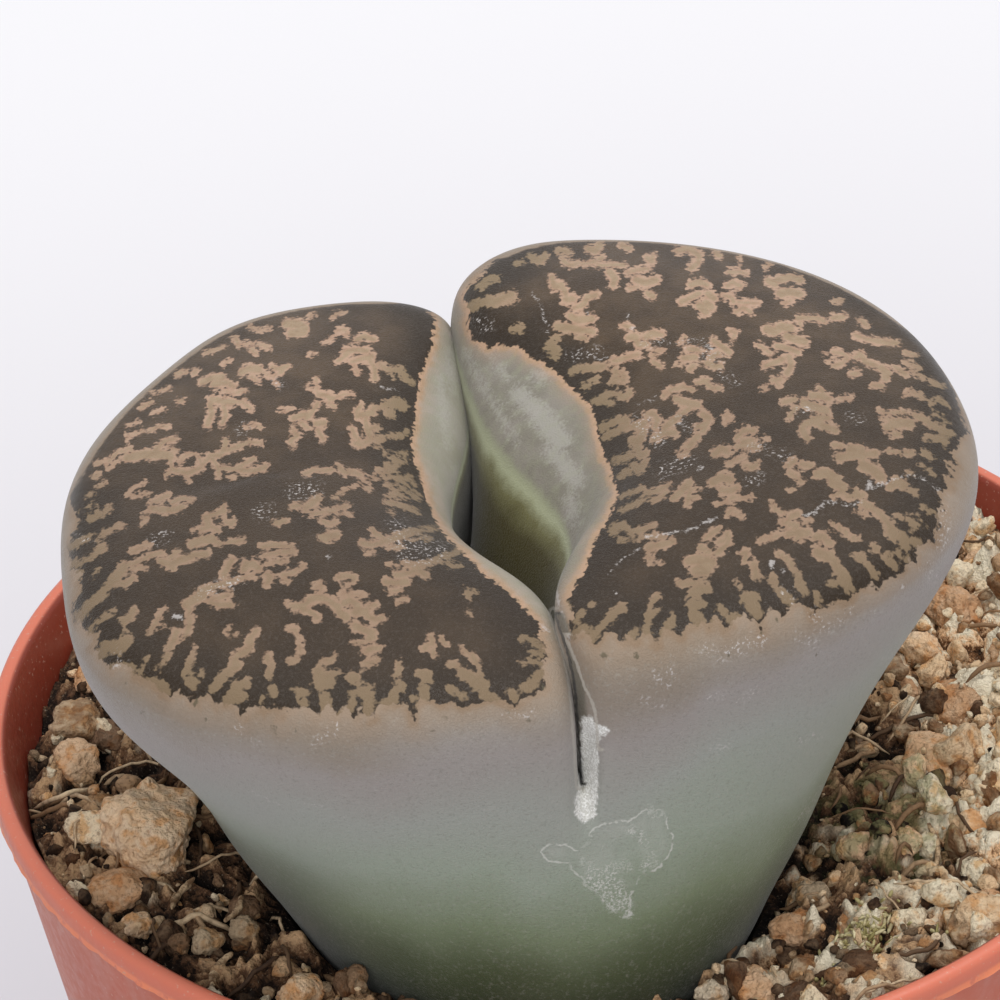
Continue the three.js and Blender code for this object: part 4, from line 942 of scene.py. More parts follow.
def plant_place(flat, height):
    """Places across and along the cleft, at a height, as points of the model."""
    height = np.broadcast_to(np.asarray(height, float), flat.shape[:1])
    bend = (1 - smooth_step(height, ROOT_TIP, ROOT_STRAIGHT)) * ROOT_BEND
    x = PLANT_X + flat[:, 0] * TURN_COS - flat[:, 1] * TURN_SIN + bend
    y = PLANT_Y + flat[:, 0] * TURN_SIN + flat[:, 1] * TURN_COS + bend
    return np.stack([x, y, height], axis=-1)


def plant_plan(points):
    """Where points above the root lie across and along the cleft."""
    x, y = points[:, 0] - PLANT_X, points[:, 1] - PLANT_Y
    return x * TURN_COS + y * TURN_SIN, y * TURN_COS - x * TURN_SIN


# Gentle swellings of the leaves' heads: the leaf, the middle across and along the cleft, how
# far it spreads each way, and how far it pushes each way, in millimetres.
SWELLS = [
    (-1, -9.5, 15.5, 5, 5, -0.5, 1.2),
    (-1, -0.8, 15.5, 2.6, 4, 0.1, -0.9),
    (-1, -18.5, -7, 5, 7, -0.7, -0.6),
    (-1, -0.8, -12, 2.0, 4.5, 0.3, 0),
    (-1, -0.5, 12, 2.0, 6, 0.3, 0),
    (1, -0.2, 13, 2.0, 6, -0.3, 0),
    (1, -0.8, -13, 1.5, 3, -0.15, 0),
]


def swelled(points, sides):
    """Points with the heads' swellings added."""
    across, along = plant_plan(points)
    push = np.zeros((len(points), 2))
    high = smooth_step(points[:, 2], 54.5, 61)
    for side, middle, place, wide, long, aside, ahead in SWELLS:
        weight = np.exp(-((across - middle) / wide) ** 2 - ((along - place) / long) ** 2)
        push += (weight * high * (sides == side))[:, None] * np.array([aside, ahead])
    points = points.copy()
    points[:, 0] += push[:, 0] * TURN_COS - push[:, 1] * TURN_SIN
    points[:, 1] += push[:, 0] * TURN_SIN + push[:, 1] * TURN_COS
    return points


def flip_left(leaf, loop):
    """A loop in the order that makes a leaf's faces look outwards."""
    return loop if leaf.side > 0 else loop[::-1]


def relaxed(points, quads, weight, rounds):
    """Points drawn towards the middle of their neighbours, by their own weights."""
    first = np.concatenate([quads[:, k] for k in range(4)])
    second = np.concatenate([quads[:, (k + 1) % 4] for k in range(4)])
    here = np.concatenate([first, second])
    there = np.concatenate([second, first])
    total = len(points)
    neighbours = np.maximum(1, np.bincount(here, minlength=total))
    points = points.copy()
    for _ in range(rounds):
        middle = [
            np.bincount(here, weights=points[there, k], minlength=total) / neighbours
            for k in range(3)
        ]
        points += weight[:, None] * (np.stack(middle, axis=-1) - points)
    return points


class LeafMesh:
    """The pair as one skin, with values at each point that the material reads."""

    OUTER = 240
    INNER = 110
    FACE_RINGS = 82

    def __init__(self):
        self.skin = Skin()
        self.zone = {"face": [], "side": [], "deep": []}
        self.build()

    def add(self, points, side, face=0.0, deep=0.0):
        """Adds points with their leaf, how far on its face they are, and how deep in the cleft."""
        for name, value in (("side", side), ("face", face), ("deep", deep)):
            self.zone[name].append(np.broadcast_to(np.asarray(value, float), (len(points),)))
        return self.skin.add(points)

    def trunk_row(self, height):
        """The trunk's outline at a height, as its left and its right half."""
        left = LEFT.trunk_half(height, self.OUTER)
        right = RIGHT.trunk_half(height, self.OUTER)[1:-1]
        left_row = self.add(plant_place(left, height), -1)
        right_row = self.add(plant_place(right, RIGHT.lifted(height)), 1)
        return left_row, np.concatenate([left_row[:1], right_row, left_row[-1:]])

    def build(self):
        """The root and the trunk, the floor of the cleft, and the two leaves on them."""
        buried = [12, 17, 22, 27, 31, 34.5, 38, 41]
        shown = np.linspace(43, CLEFT_START, 32)
        rows = [self.trunk_row(height) for height in [*buried, *shown]]
        for lower, upper in zip(rows[:-1], rows[1:]):
            self.skin.strip(lower[0][::-1], upper[0][::-1])
            self.skin.strip(lower[1], upper[1])
        tip = self.add(plant_place(np.zeros((1, 2)), ROOT_TIP - 0.5), 0)[0]
        underside = np.concatenate([rows[0][0], rows[0][1][::-1][1:]])
        self.skin.fan(underside, tip)
        left_split, right_split = rows[-1]

        back = float(0.5 * (LEFT_BACK(CLEFT_START) + RIGHT_BACK(CLEFT_START)))
        front = float(-FRONT_WIDTH(CLEFT_START))
        along = spread(np.array([[0, back], [0, front]]), self.INNER, 0.3)[1:-1, 1]
        floor = np.stack([CLEFT_MIDDLE(along), along], axis=-1)
        floor_points = plant_place(floor, 0)
        floor_points[:, 2] = CLEFT_FLOOR(along)
        floor_row = self.add(floor_points, 0, deep=1.0)
        floor_line = np.concatenate([left_split[-1:], floor_row, left_split[:1]])
        for leaf, split in ((LEFT, left_split), (RIGHT, right_split)):
            self.build_leaf(leaf, split, floor_line)

    def build_leaf(self, leaf, outer, inner):
        """A leaf's flank and wall, up from the lines that they start on, and then its face."""
        low = CLEFT_START + (LIP_LEVEL - CLEFT_START) * np.linspace(0, 1, 20)[1:] ** 1.15
        high = np.linspace(LIP_LEVEL, FACE_LEVEL, 13)[1:]
        for height in [*low, *high]:
            outside, inside = leaf.section(height, self.OUTER, self.INNER)
            sink = 1 - smooth_step(height, CLEFT_START, LIP_LEVEL)
            face = smooth_step(height, LIP_LEVEL, FACE_LEVEL) * 0.5
            new_outer = self.add(plant_place(outside, leaf.lifted(height)), leaf.side, face=face)
            wall = plant_place(inside[1:-1], leaf.lifted(height))
            drop = np.maximum(0, CLEFT_START - CLEFT_FLOOR(inside[1:-1, 1]))
            wall[:, 2] -= sink * drop
            deep = np.clip((LIP_LEVEL - height) / (LIP_LEVEL - CLEFT_START), 0, 1)
            new_inner = self.add(wall, leaf.side, face=face, deep=deep)
            new_inner = np.concatenate([new_outer[-1:], new_inner, new_outer[:1]])
            self.skin.strip(flip_left(leaf, outer), flip_left(leaf, new_outer))
            self.skin.strip(flip_left(leaf, inner), flip_left(leaf, new_inner))
            outer, inner = new_outer, new_inner
        rim = np.concatenate([outside[:-1], inside[:-1]])
        loop = closed(np.concatenate([outer[:-1], inner[:-1]]))
        for step in range(1, self.FACE_RINGS):
            share = 1 - step / self.FACE_RINGS
            ring = leaf.centre + (rim - leaf.centre) * share
            inside = 0.5 + 0.5 * smooth_step(1 - share, 0, 0.11)
            spots = plant_place(ring, leaf.face_height(ring, share))
            row = closed(self.add(spots, leaf.side, face=inside))
            self.skin.strip(flip_left(leaf, loop), flip_left(leaf, row))
            loop = row
        centre = leaf.centre[None, :]
        top = self.add(plant_place(centre, leaf.face_height(centre, 0)), leaf.side, face=1.0)[0]
        self.skin.fan(flip_left(leaf, loop), top)

    def finished(self):
        """The softened skin as a mesh that carries the values of its markings."""
        points = self.skin.all_points()
        quads = np.concatenate(self.skin.quads)
        soft = 0.75 * smooth_step(points[:, 2], 54.5, 57.5)
        points = relaxed(points, quads, soft, SOFT_ROUNDS)
        values = {name: np.concatenate(parts) for name, parts in self.zone.items()}
        points = swelled(points, values["side"])
        front = (points[:, 2] > MARKED_ABOVE) & (points[:, 1] < PLANT_Y - 8)
        sunk = smooth_step(stroke_depth(picture_of(points[front]), GROOVE), -3, 13)
        points[front] += GROOVE_DEPTH * sunk[:, None] * np.array([0, 1.0, 0])
        self.skin.points = [points]
        spots = picture_of(points)
        for name in ("window", "isle", "dot", "scratch", "scuff", "bloom", "crust", "grains"):
            values[name] = np.full(len(points), -NEAR)
        top = values["face"] > 0
        for side, window, isles in ((-1, LEFT_WINDOW, LEFT_ISLES), (1, RIGHT_WINDOW, RIGHT_ISLES)):
            part = top & (values["side"] == side)
            values["window"][part] = region_depth(spots[part], window)
            values["isle"][part] = stroke_depth(spots[part], isles)
        shown = points[:, 2] > MARKED_ABOVE
        for name, strokes in (
            ("dot", DOTS), ("scratch", SCRATCHES), ("scuff", SCUFFS), ("bloom", BLOOM),
            ("crust", CRUST), ("grains", GRAINS),
        ):
            values[name][shown] = stroke_depth(spots[shown], strokes)
        values["splash"] = region_depth(spots, SPLASH)
        for name, line in (("seam", SEAM), ("rim", RIM)):
            beside = [(x + NEAR, y) for x, y in line[::-1]]
            values[name] = np.where(shown, region_depth(spots, line + beside), NEAR)
            stroke = [(SEAM_RIM, *np.ravel(line))]
            values[name + "_near"] = np.where(shown, stroke_depth(spots, stroke), -NEAR)

        # The slit is shadiest at the front, and its left wall darkens soonest going down.
        across, along = plant_plan(points)
        values["deep"] = values["deep"] * (1 - 0.25 * smooth_step(along, -6, 1))
        values["deep"] *= np.where(values["side"] < 0, 2.4, 1)
        cleft = np.zeros(len(points))
        for leaf in (LEFT, RIGHT):
            part = values["side"] == leaf.side
            inward = leaf.side * (across[part] - leaf.edge(along[part]))
            cleft[part] = 1 - smooth_step(inward, 0.8, 4.5)
            behind = np.maximum(smooth_step(along, 0, 8), 0.4 * smooth_step(along, -7, -2))[part]
            values["face"][part] -= 0.55 * behind * smooth_step(inward, 0.5, 3)
        cleft *= smooth_step(along, -16.5, -11) * (1 - smooth_step(along, 12, 15.5))
        values["cleft"] = cleft
        mesh = self.skin.mesh("leaf_pair_skin")
        for name, numbers in values.items():
            set_values(mesh, name, np.clip(numbers, -NEAR, NEAR))
        return mesh


def leaf_material():
    shader = Shader("leaf")
    height = shader.height()
    broad = shader.noise(6, 1)
    patchy = shader.noise(2.2, 3)
    fine = shader.noise(0.5, 2)
    grain = shader.noise(0.14, 2)

    def lifted(value, *terms):
        """A value with noises added, each taken about its middle and times its amount."""
        for noise, amount in terms:
            swing = shader.math("MULTIPLY_ADD", noise, amount, -amount / 2)
            value = shader.math("ADD", value, swing)
        return value

    def share(name, low, high, *terms):
        """How far the mesh's value is from low to high, from 0 to 1, with noises added."""
        return shader.ramp(lifted(shader.value(name), *terms), low, high)

    on_face = share("face", 0.12, 0.24, (fine, 0.2))
    teeth = shader.noise(0.22, 1)
    window = shader.times(share("window", -0.8, 1.0, (fine, 8), (teeth, 7)), on_face)
    isle = share("isle", -0.9, 1.1, (fine, 6), (teeth, 6))
    isle_heart = share("isle", 0.8, 3.2, (patchy, 5), (fine, 3))
    dot = share("dot", -0.8, 1.0, (grain, 3))
    fringe = shader.times(share("window", -9, -1, (fine, 12)), on_face)
    margin = share("window", 8, 60, (patchy, 30))
    cleft = shader.value("cleft")
    deep = shader.value("deep")
    right = shader.ramp(shader.value("side"), -0.5, 0.5)
    border = shader.math("MULTIPLY_ADD", cleft, -12, lifted(shader.value("window"), (patchy, 16)))
    border = shader.times(shader.ramp(border, -34, -6), share("face", 0.0, 0.1))
    x, y, _ = shader.axes()

    # The flanks: green low down, then grey, then tan. The right leaf's stays greener. The darkest
    # stops at the foot are partly painted shade where the flank meets the filling.
    greener = shader.times(shader.ramp(x, 0.0, 0.007), shader.ramp(height, 53, 59))
    level = shader.math("MULTIPLY_ADD", greener, -1.8, lifted(height, (broad, 4), (patchy, 1.5)))
    flank = shader.colours(
        shader.ramp(level, FLANK_LOW, FLANK_HIGH),
        [
            (0.0, linear(45, 52, 32)),
            (0.15, linear(85, 96, 66)),
            (0.32, linear(128, 141, 111)),
            (0.51, linear(156, 166, 149)),
            (0.725, linear(161, 164, 155)),
            (0.9, linear(159, 152, 146)),
            (0.97, linear(148, 136, 122)),
            (1.0, linear(144, 129, 112)),
        ],
    )
    # Painted shade on the left flank's lower part, towards its outline.
    shadow = shader.times(shader.ramp(x, -0.009, -0.0135), shader.ramp(height, 57, 51))
    flank = shader.mix(shader.times(shadow, 0.5), flank, linear(62, 66, 56))
    dust = shader.ramp(shader.noise(0.2, 3, 0.7), 0.5, 0.75)
    flank = shader.mix(shader.times(dust, 0.3), flank, linear(176, 174, 166))
    flank = shader.mix(shader.ramp(grain, 0.46, 0.3, 0.0, 0.22), flank, linear(104, 102, 90))

    # The bands beside the cleft, its lips, and the green hollow between the leaves, with painted
    # shade on the right leaf's band and down in the hollow.
    patches = shader.ramp(patchy, 0.4, 0.62)
    band = shader.mix(patches, linear(150, 146, 131), linear(160, 155, 144))
    # The right leaf's band takes a darker copy of the band's colours: painted shade.
    shaded = shader.mix(patches, linear(128, 123, 111), linear(138, 132, 122))
    band = shader.mix(right, band, shaded)
    bloom = shader.times(share("bloom", -6, 6, (fine, 14), (grain, 20)), 0.45)
    band = shader.mix(bloom, band, linear(188, 185, 178))
    lip = shader.ramp(lifted(deep, (fine, 0.1)), -0.02, 0.08)
    lip = shader.mix(lip, band, linear(150, 152, 126))
    # The hollow darkens with depth: painted shade down the cleft's walls, with the light that passes
    # through the leaf's tissue painted in as its olive glow.
    hollow = shader.colours(
        lifted(deep, (patchy, 0.12), (fine, 0.05)),
        [
            (0.0, linear(152, 154, 126)),
            (0.1, linear(170, 174, 142)),
            (0.18, linear(112, 109, 70)),
            (0.29, linear(68, 61, 22)),
            (1.0, linear(58, 50, 12)),
        ],
    )
    inner = shader.mix(shader.ramp(deep, 0.02, 0.1), lip, hollow)
    pale = shader.mix(cleft, flank, inner)

    # The pale edge round each dark window.
    orange = shader.mix(shader.ramp(fine, 0.4, 0.6), linear(186, 152, 124), linear(170, 142, 114))
    tan = shader.mix(shader.ramp(patchy, 0.42, 0.6), linear(138, 116, 93), linear(150, 130, 110))
    edge = shader.mix(cleft, tan, orange)
    pale = shader.mix(shader.times(border, 0.5), pale, edge)
    pale = shader.mix(fringe, pale, edge)

    # The dark windows, and the tan islands in them.
    dark = shader.mix(shader.ramp(patchy, 0.35, 0.65), linear(65, 50, 33), linear(84, 67, 48))
    dark = shader.mix(margin, linear(46, 35, 21), dark)
    front = shader.ramp(y, 0.002, -0.011)
    dark = shader.mix(shader.times(front, 0.6), dark, linear(46, 34, 20))
    dark = shader.mix(shader.ramp(grain, 0.5, 0.7, 0.0, 0.12), dark, linear(122, 112, 104))
    heart = shader.mix(shader.ramp(fine, 0.4, 0.6), linear(148, 128, 99), linear(158, 138, 109))
    spot = shader.mix(shader.ramp(fine, 0.38, 0.62), linear(172, 139, 115), linear(184, 152, 128))
    spot = shader.mix(shader.times(isle_heart, 0.75), spot, heart)
    spot = shader.mix(share("window", 60, 6, (patchy, 36)), spot, linear(134, 115, 88))
    spot = shader.mix(shader.times(front, 0.5), spot, linear(116, 96, 74))

    face = shader.mix(isle, dark, spot)
    colour = shader.mix(window, pale, face)
    colour = shader.mix(shader.times(dot, 0.75), colour, linear(84, 78, 58))

    # Scuffs and scratches, then the splash's ring, its haze and its grains.
    sparkle = shader.ramp(grain, 0.54, 0.68)
    scuffed = shader.times(share("scuff", -3, 5, (fine, 14)), sparkle)
    white = shader.times(scuffed, 0.7)
    scratch = shader.times(share("scratch", -0.3, 1.4, (grain, 5)), 0.6)
    white = shader.math("MAXIMUM", white, scratch)
    colour = shader.mix(white, colour, linear(206, 200, 196))

    ring = shader.math("ABSOLUTE", lifted(shader.value("splash"), (fine, 5), (teeth, 4)))
    ring = shader.times(shader.ramp(ring, 1.6, 0.3), shader.ramp(fine, 0.42, 0.52))
    ring = shader.times(ring, shader.ramp(patchy, 0.36, 0.56, 0.3, 1.0))
    sandy = shader.ramp(shader.noise(0.12, 4, 0.7), 0.47, 0.58)
    wash = shader.times(share("splash", -1, 8), shader.ramp(patchy, 0.4, 0.7, 0.05, 0.3))
    grains = shader.times(share("grains", -5, 4, (fine, 10)), sandy)
    deposit = shader.math("MAXIMUM", shader.times(ring, 0.95), wash)
    deposit = shader.math("MAXIMUM", deposit, grains)
    colour = shader.mix(deposit, colour, linear(200, 202, 192))

    def line(name, place, width, amount):
        """How much of a thin line, so many pixels to the right of a drawn one, covers a spot."""
        away = shader.math("ADD", lifted(shader.value(name), (teeth, 3)), -place)
        away = shader.math("ABSOLUTE", away)
        drawn = shader.ramp(away, width, width * 0.3, 0.0, amount)
        return shader.times(drawn, share(name + "_near", 0, 4))

    # The seam, the right leaf's rolled edge beside it, and the lime crust in the slit. Between the
    # seam and the rolled edge is painted shade, and the seam's dark line is painted shadow cast by
    # the left leaf's edge.
    # Painted shade in the recess between the seam and the rolled edge.
    between = shader.times(share("seam", 0, 2), share("rim", 1, -2))
    between = shader.times(between, share("seam_near", -3, 1))
    colour = shader.mix(shader.times(between, 0.8), colour, linear(104, 99, 84))
    crust = share("crust", -3, 0, (fine, 6), (grain, 5))
    powder = shader.ramp(shader.noise(0.09, 3, 0.6), 0.42, 0.62)
    chalk = shader.mix(powder, linear(212, 211, 203), linear(253, 253, 248))
    colour = shader.mix(crust, colour, chalk)
    colour = shader.mix(line("rim", 0, 2.2, 0.7), colour, linear(196, 190, 178))
    colour = shader.mix(line("seam", -4, 2.4, 0.6), colour, linear(190, 184, 172))
    # The seam's dark line: painted shadow cast by the left leaf's edge.
    colour = shader.mix(line("seam", 1, 2.2, 0.95), colour, linear(44, 40, 30))

    relief = shader.times(grain, 0.3)
    relief = shader.math("MULTIPLY_ADD", shader.noise(0.3, 3, 0.6), 0.6, relief)
    relief = shader.math("ADD", relief, shader.math("MULTIPLY_ADD", powder, 0.5, crust))
    skin = shader.bump(relief, 0.5, 0.05)
    glass = shader.times(window, shader.math("SUBTRACT", 1.0, isle))
    roughness = shader.math("MULTIPLY_ADD", glass, -0.1, 0.54)
    roughness = shader.math("MULTIPLY_ADD", shader.math("MAXIMUM", white, crust), 0.3, roughness)
    return shader.finish(colour, roughness, skin, Specular_IOR_Level=0.3,
                         Sheen_Weight=0.2, Sheen_Roughness=0.35)


def add_leaves():
    leaves = add_object("leaf_pair_skin", LeafMesh().finished(), leaf_material())
    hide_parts("leaf_pair")
    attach(leaves, "root")


# ---- the pot ----

def pot_outer(height):
    rise = (POT_RIM_RADIUS - POT_LIP_STEP - POT_BASE_RADIUS) / (POT_HEIGHT - POT_LIP_HEIGHT)
    return POT_BASE_RADIUS + rise * height


def pot_inner(height):
    return pot_outer(height) - POT_WALL


def pot_profile():
    """The pot's section, as radius, height and how rough the moulding is there."""
    lip = POT_HEIGHT - POT_LIP_HEIGHT
    rim = POT_RIM_RADIUS
    floor = POT_RECESS + POT_FLOOR
    walls = np.linspace(3, lip - 2, 8)
    return [
        (0, POT_RECESS, 0), (POT_RECESS_RADIUS - 1, POT_RECESS, 0),
        (POT_RECESS_RADIUS - 0.75, POT_RECESS - 0.1, 0), (POT_RECESS_RADIUS - 0.1, 0.1, 0),
        (POT_RECESS_RADIUS + 0.2, 0, 0), (POT_BASE_RADIUS - 0.5, 0, 0),
        (POT_BASE_RADIUS - 0.15, 0.1, 0), (pot_outer(0.4), 0.4, 0),
        *[(pot_outer(height), height, 0) for height in walls],
        (pot_outer(lip - 0.2), lip - 0.2, 0.2), (pot_outer(lip) + 0.02, lip - 0.04, 0.6),
        (rim - 0.12, lip, 1), (rim + 0.03, lip + 0.1, 1), (rim - 0.02, lip + 0.26, 0.5),
        (rim, lip + 0.5, 0), (rim - 0.03, POT_HEIGHT - 0.3, 0),
        (rim - 0.1, POT_HEIGHT - 0.12, 0), (rim - 0.24, POT_HEIGHT - 0.03, 0),
        (rim - 0.42, POT_HEIGHT, 0), (rim - 0.62, POT_HEIGHT - 0.03, 0),
        (rim - 0.78, POT_HEIGHT - 0.14, 0), (rim - 0.88, POT_HEIGHT - 0.35, 0),
        (pot_inner(lip - 0.6), lip - 0.6, 0),
        *[(pot_inner(height), height, 0) for height in walls[::-1]],
        (pot_inner(floor + 0.8), floor + 0.8, 0), (pot_inner(floor) - 0.3, floor + 0.2, 0),
        (pot_inner(floor) - 0.9, floor, 0), (0, floor, 0),
    ]


def add_pot():
    skin = Skin()
    angle = np.linspace(0, 2 * np.pi, POT_COLUMNS, endpoint=False)
    around = np.stack([np.cos(angle), np.sin(angle)], axis=-1)
    rows = []
    for radius, height, moulding in pot_profile():
        if radius == 0:
            rows.append(skin.add(np.array([[0, 0, height]])))
            continue
        spots = np.column_stack([around * radius, np.full(len(angle), float(height))])
        flash = moulding * (0.07 * rough(spots, 0.7, 5) + 0.05 * rough(spots, 0.3, 6))
        waves = 0.05 * rough(spots, 16, 7)
        spots[:, :2] += around * (flash + waves)[:, None]
        spots[:, 2] += 0.8 * moulding * (0.06 * rough(spots, 0.5, 8) - 0.03)
        rows.append(closed(skin.add(spots)))
    skin.join(rows)
    pot = add_object("pot_shell", skin.mesh("pot_shell"), pot_material())
    cut_drains(pot)
    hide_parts("pot")
    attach(pot, "root")


def cut_drains(pot):
    """Cuts the holes through the pot's floor and keeps the result as its mesh."""
    drains = bmesh.new()
    places = [(0, 0)]
    for i in range(DRAIN_COUNT):
        angle = 2 * math.pi * i / DRAIN_COUNT
        places.append((DRAIN_CIRCLE * math.cos(angle), DRAIN_CIRCLE * math.sin(angle)))
    for x, y in places:
        bmesh.ops.create_cone(
            drains, segments=48, radius1=DRAIN_RADIUS * MM, radius2=DRAIN_RADIUS * MM,
            depth=8 * MM, cap_ends=True, matrix=Matrix.Translation((x * MM, y * MM, 0)),
        )
    mesh = bpy.data.meshes.new("drains")
    drains.to_mesh(mesh)
    drains.free()
    cutter = new_object("drains", mesh)
    cut = pot.modifiers.new("drains", "BOOLEAN")
    cut.object = cutter
    cut.operation = "DIFFERENCE"
    keep_modifiers(pot)
    bpy.data.objects.remove(cutter)
    pot.data.shade_smooth()
    pot.data.set_sharp_from_angle(angle=math.radians(50))


def keep_modifiers(piece):
    """Turns what an object's modifiers make into its own mesh."""
    depsgraph = bpy.context.evaluated_depsgraph_get()
    mesh = bpy.data.meshes.new_from_object(piece.evaluated_get(depsgraph))
    piece.modifiers.clear()
    piece.data = mesh


def pot_material():
    shader = Shader("pot")
    broad = shader.noise(9, 3)
    fine = shader.noise(0.5, 3)
    streak = shader.noise(1.4, 3, stretch=(1, 1, 0.12))
    x, y, z = shader.axes()
    radius = shader.math("ADD", shader.times(x, x), shader.times(y, y))
    radius = shader.math("SQRT", radius)
    middle = shader.math("MULTIPLY_ADD", z, WALL_LEAN, WALL_FOOT)
    wall = shader.math("SUBTRACT", radius, middle)
    outside = shader.ramp(wall, 0.0, 0.0002)
    # The inside wall's darker red is painted shade inside the pot.
    colour = shader.mix(broad, linear(136, 55, 37), linear(148, 64, 45))
    dusty = shader.mix(shader.ramp(broad, 0.35, 0.65), linear(194, 99, 72), linear(201, 109, 82))
    dusty = shader.mix(shader.ramp(streak, 0.45, 0.7, 0.0, 0.2), dusty, linear(196, 140, 124))
    height = shader.height()
    lip = shader.ramp(height, POT_HEIGHT - 1.6, POT_HEIGHT - 1.1)
    # The lip's top colour is kept to its outer part, so the lip's inner part keeps the inside's
    # painted shade.
    brim = shader.times(lip, shader.ramp(wall, -0.00018, -0.00002))
    colour = shader.mix(brim, colour, linear(214, 119, 93))
    haze = shader.times(outside, shader.math("SUBTRACT", 1.0, lip))
    colour = shader.mix(haze, colour, dusty)
    away = shader.math("ABSOLUTE", shader.math("SUBTRACT", height, LIP_FLASH))
    broken = shader.times(outside, shader.ramp(fine, 0.3, 0.5))
    flash = shader.times(shader.ramp(away, 0.35, 0.1), broken)
    colour = shader.mix(flash, colour, linear(236, 138, 98))
    speck = shader.ramp(shader.noise(0.22, 2), 0.64, 0.72, 0.0, 0.5)
    colour = shader.mix(speck, colour, linear(205, 168, 150))
    relief = shader.math("ADD", fine, shader.times(streak, 0.5))
    roughness = shader.ramp(fine, 0.3, 0.7, 0.36, 0.5)
    return shader.finish(
        colour, roughness, shader.bump(relief, 0.35, 0.03), Specular_IOR_Level=0.5,
        Subsurface_Weight=0.06, Subsurface_Scale=0.002,
    )


# ---- the filling ----

def crumble(x, y):
    """Rounded crumbs with sharp creases between them, from about 0 to 1."""
    flat = np.stack([x, y, np.zeros_like(x)], axis=-1)
    bend = np.stack([rough(flat, 1.4, 14), rough(flat, 1.4, 15), np.zeros_like(x)], axis=-1)
    flat = flat + 0.6 * bend
    coarse = 1.4 * np.abs(rough(flat, 1.9, 12)) + 0.7 * np.abs(rough(flat, 0.8, 13))
    return coarse + 0.5 * np.abs(rough(flat, 0.4, 16))


def soil_height(x, y):
    """The height of the filling's surface: the solid's swells, with heaps and crumbs on them."""
    waves = np.sin(0.9 * x + 0.4) * np.cos(0.7 * y - 0.3)
    waves = waves + 0.6 * np.sin(1.7 * x + 1.3 * y) + 0.5 * np.cos(2.1 * y - 1.1 * x + 1)
    flat = np.stack([x, y, np.zeros_like(x)], axis=-1)
    heaps = 0.55 * rough(flat, 3.2, 11) + 0.5 * on_right(x, y)
    across, along = plant_plan(flat)
    ring = np.hypot(across / 12.5, along / np.where(along < 0, 15.7, 11.5))
    dip = 0.9 * (1 - smooth_step(ring, 1, 1.3))
    wall = 0.5 * smooth_step(np.hypot(x, y), 24, 26) * (1 - on_right(x, y))
    return SOIL_TOP - 0.9 + SOIL_BUMP * waves + heaps + crumble(x, y) - dip - wall


def on_right(x, y):
    """How sandy the filling is: 0 in the peat, 1 in the tan heap at the right."""
    heap = smooth_step(x, 13.5, 18) * (1 - 0.4 * smooth_step(-y, 11, 16))
    front = 0.5 * smooth_step(x, 2, 9) * smooth_step(-y, 13, 17)
    return np.maximum(heap, front)


def moss_patch(x, y):
    """How much moss grows at a place on the filling, from 0 to 1."""
    around = np.hypot((x - MOSS_MIDDLE[0]) / 4.5, (y - MOSS_MIDDLE[1]) / 6.5)
    return 1 - smooth_step(around, 0.4, 1)


def trunk_loop(height, angle, grow):
    """The trunk's outline at a height, met by rays from its middle at the given angles."""
    left = plant_place(LEFT.trunk_half(height, 160), height)
    right = plant_place(RIGHT.trunk_half(height, 160), height)
    middle = plant_place(np.zeros((1, 2)), height)[0, :2]
    ring = np.concatenate([left, right[::-1]])[:, :2] - middle
    turn = np.arctan2(ring[:, 1], ring[:, 0])
    order = np.argsort(turn)
    radius = np.interp(angle, turn[order], np.hypot(*ring[order].T), period=2 * np.pi) + grow
    return middle, radius


def add_soil():
    skin = Skin()
    angle = np.linspace(-np.pi, np.pi, SOIL_COLUMNS, endpoint=False)
    ray = np.stack([np.cos(angle), np.sin(angle)], axis=-1)

    def wall_spots(radius):
        middle = np.array([PLANT_X, PLANT_Y])
        towards = ray @ middle
        reach = -towards + np.sqrt(towards ** 2 + radius ** 2 - middle @ middle)
        return middle, reach

    def row(middle, reach, height):
        spots = middle + ray * reach[:, None]
        if height is None:
            height = soil_height(spots[:, 0], spots[:, 1])
        return closed(skin.add(np.column_stack([spots, np.broadcast_to(height, (len(spots),))])))

    bottom = POT_RECESS + POT_FLOOR + POT_GAP
    rows = [skin.add(np.array([[0, 0, bottom]]))]
    for height in (bottom, bottom + 0.8, 12, 24, 36, 44):
        inset = 1.3 if height == bottom else POT_GAP
        rows.append(row(*wall_spots(pot_inner(height) - inset), height))
    middle, reach = wall_spots(pot_inner(SOIL_TOP) - POT_GAP)
    _, inner = trunk_loop(COLLAR, angle, 0.15)
    for share in np.linspace(0, 1, SOIL_RINGS):
        rows.append(row(middle, reach + (inner - reach) * share, None))
    for height in (44.5, 42.5, 40, 37, 33.5, 30, 26, 21, 16, 12.3):
        rows.append(row(*trunk_loop(height, angle, TRUNK_GAP), height))
    rows.append(skin.add(plant_place(np.zeros((1, 2)), 11.5)))
    skin.join(rows)
    mesh = skin.mesh("soil_bed")
    x, y, z = skin.all_points().T
    flat = np.stack([x, y, z], axis=-1)
    sand = on_right(x, y) + 0.6 * rough(flat, 2.4, 18) + 0.35 * rough(flat, 0.9, 19)
    # How raised each point is, which the material turns into painted shade in the creases.
    set_values(mesh, "raised", crumble(x, y) * smooth_step(z, SOIL_TOP - 2, SOIL_TOP - 1))
    set_values(mesh, "sand", np.clip(sand, 0, 1))
    set_values(mesh, "mossy", moss_patch(x, y))
    soil = add_object("soil_bed", mesh, soil_material())
    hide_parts("soil")
    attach(soil, "root")


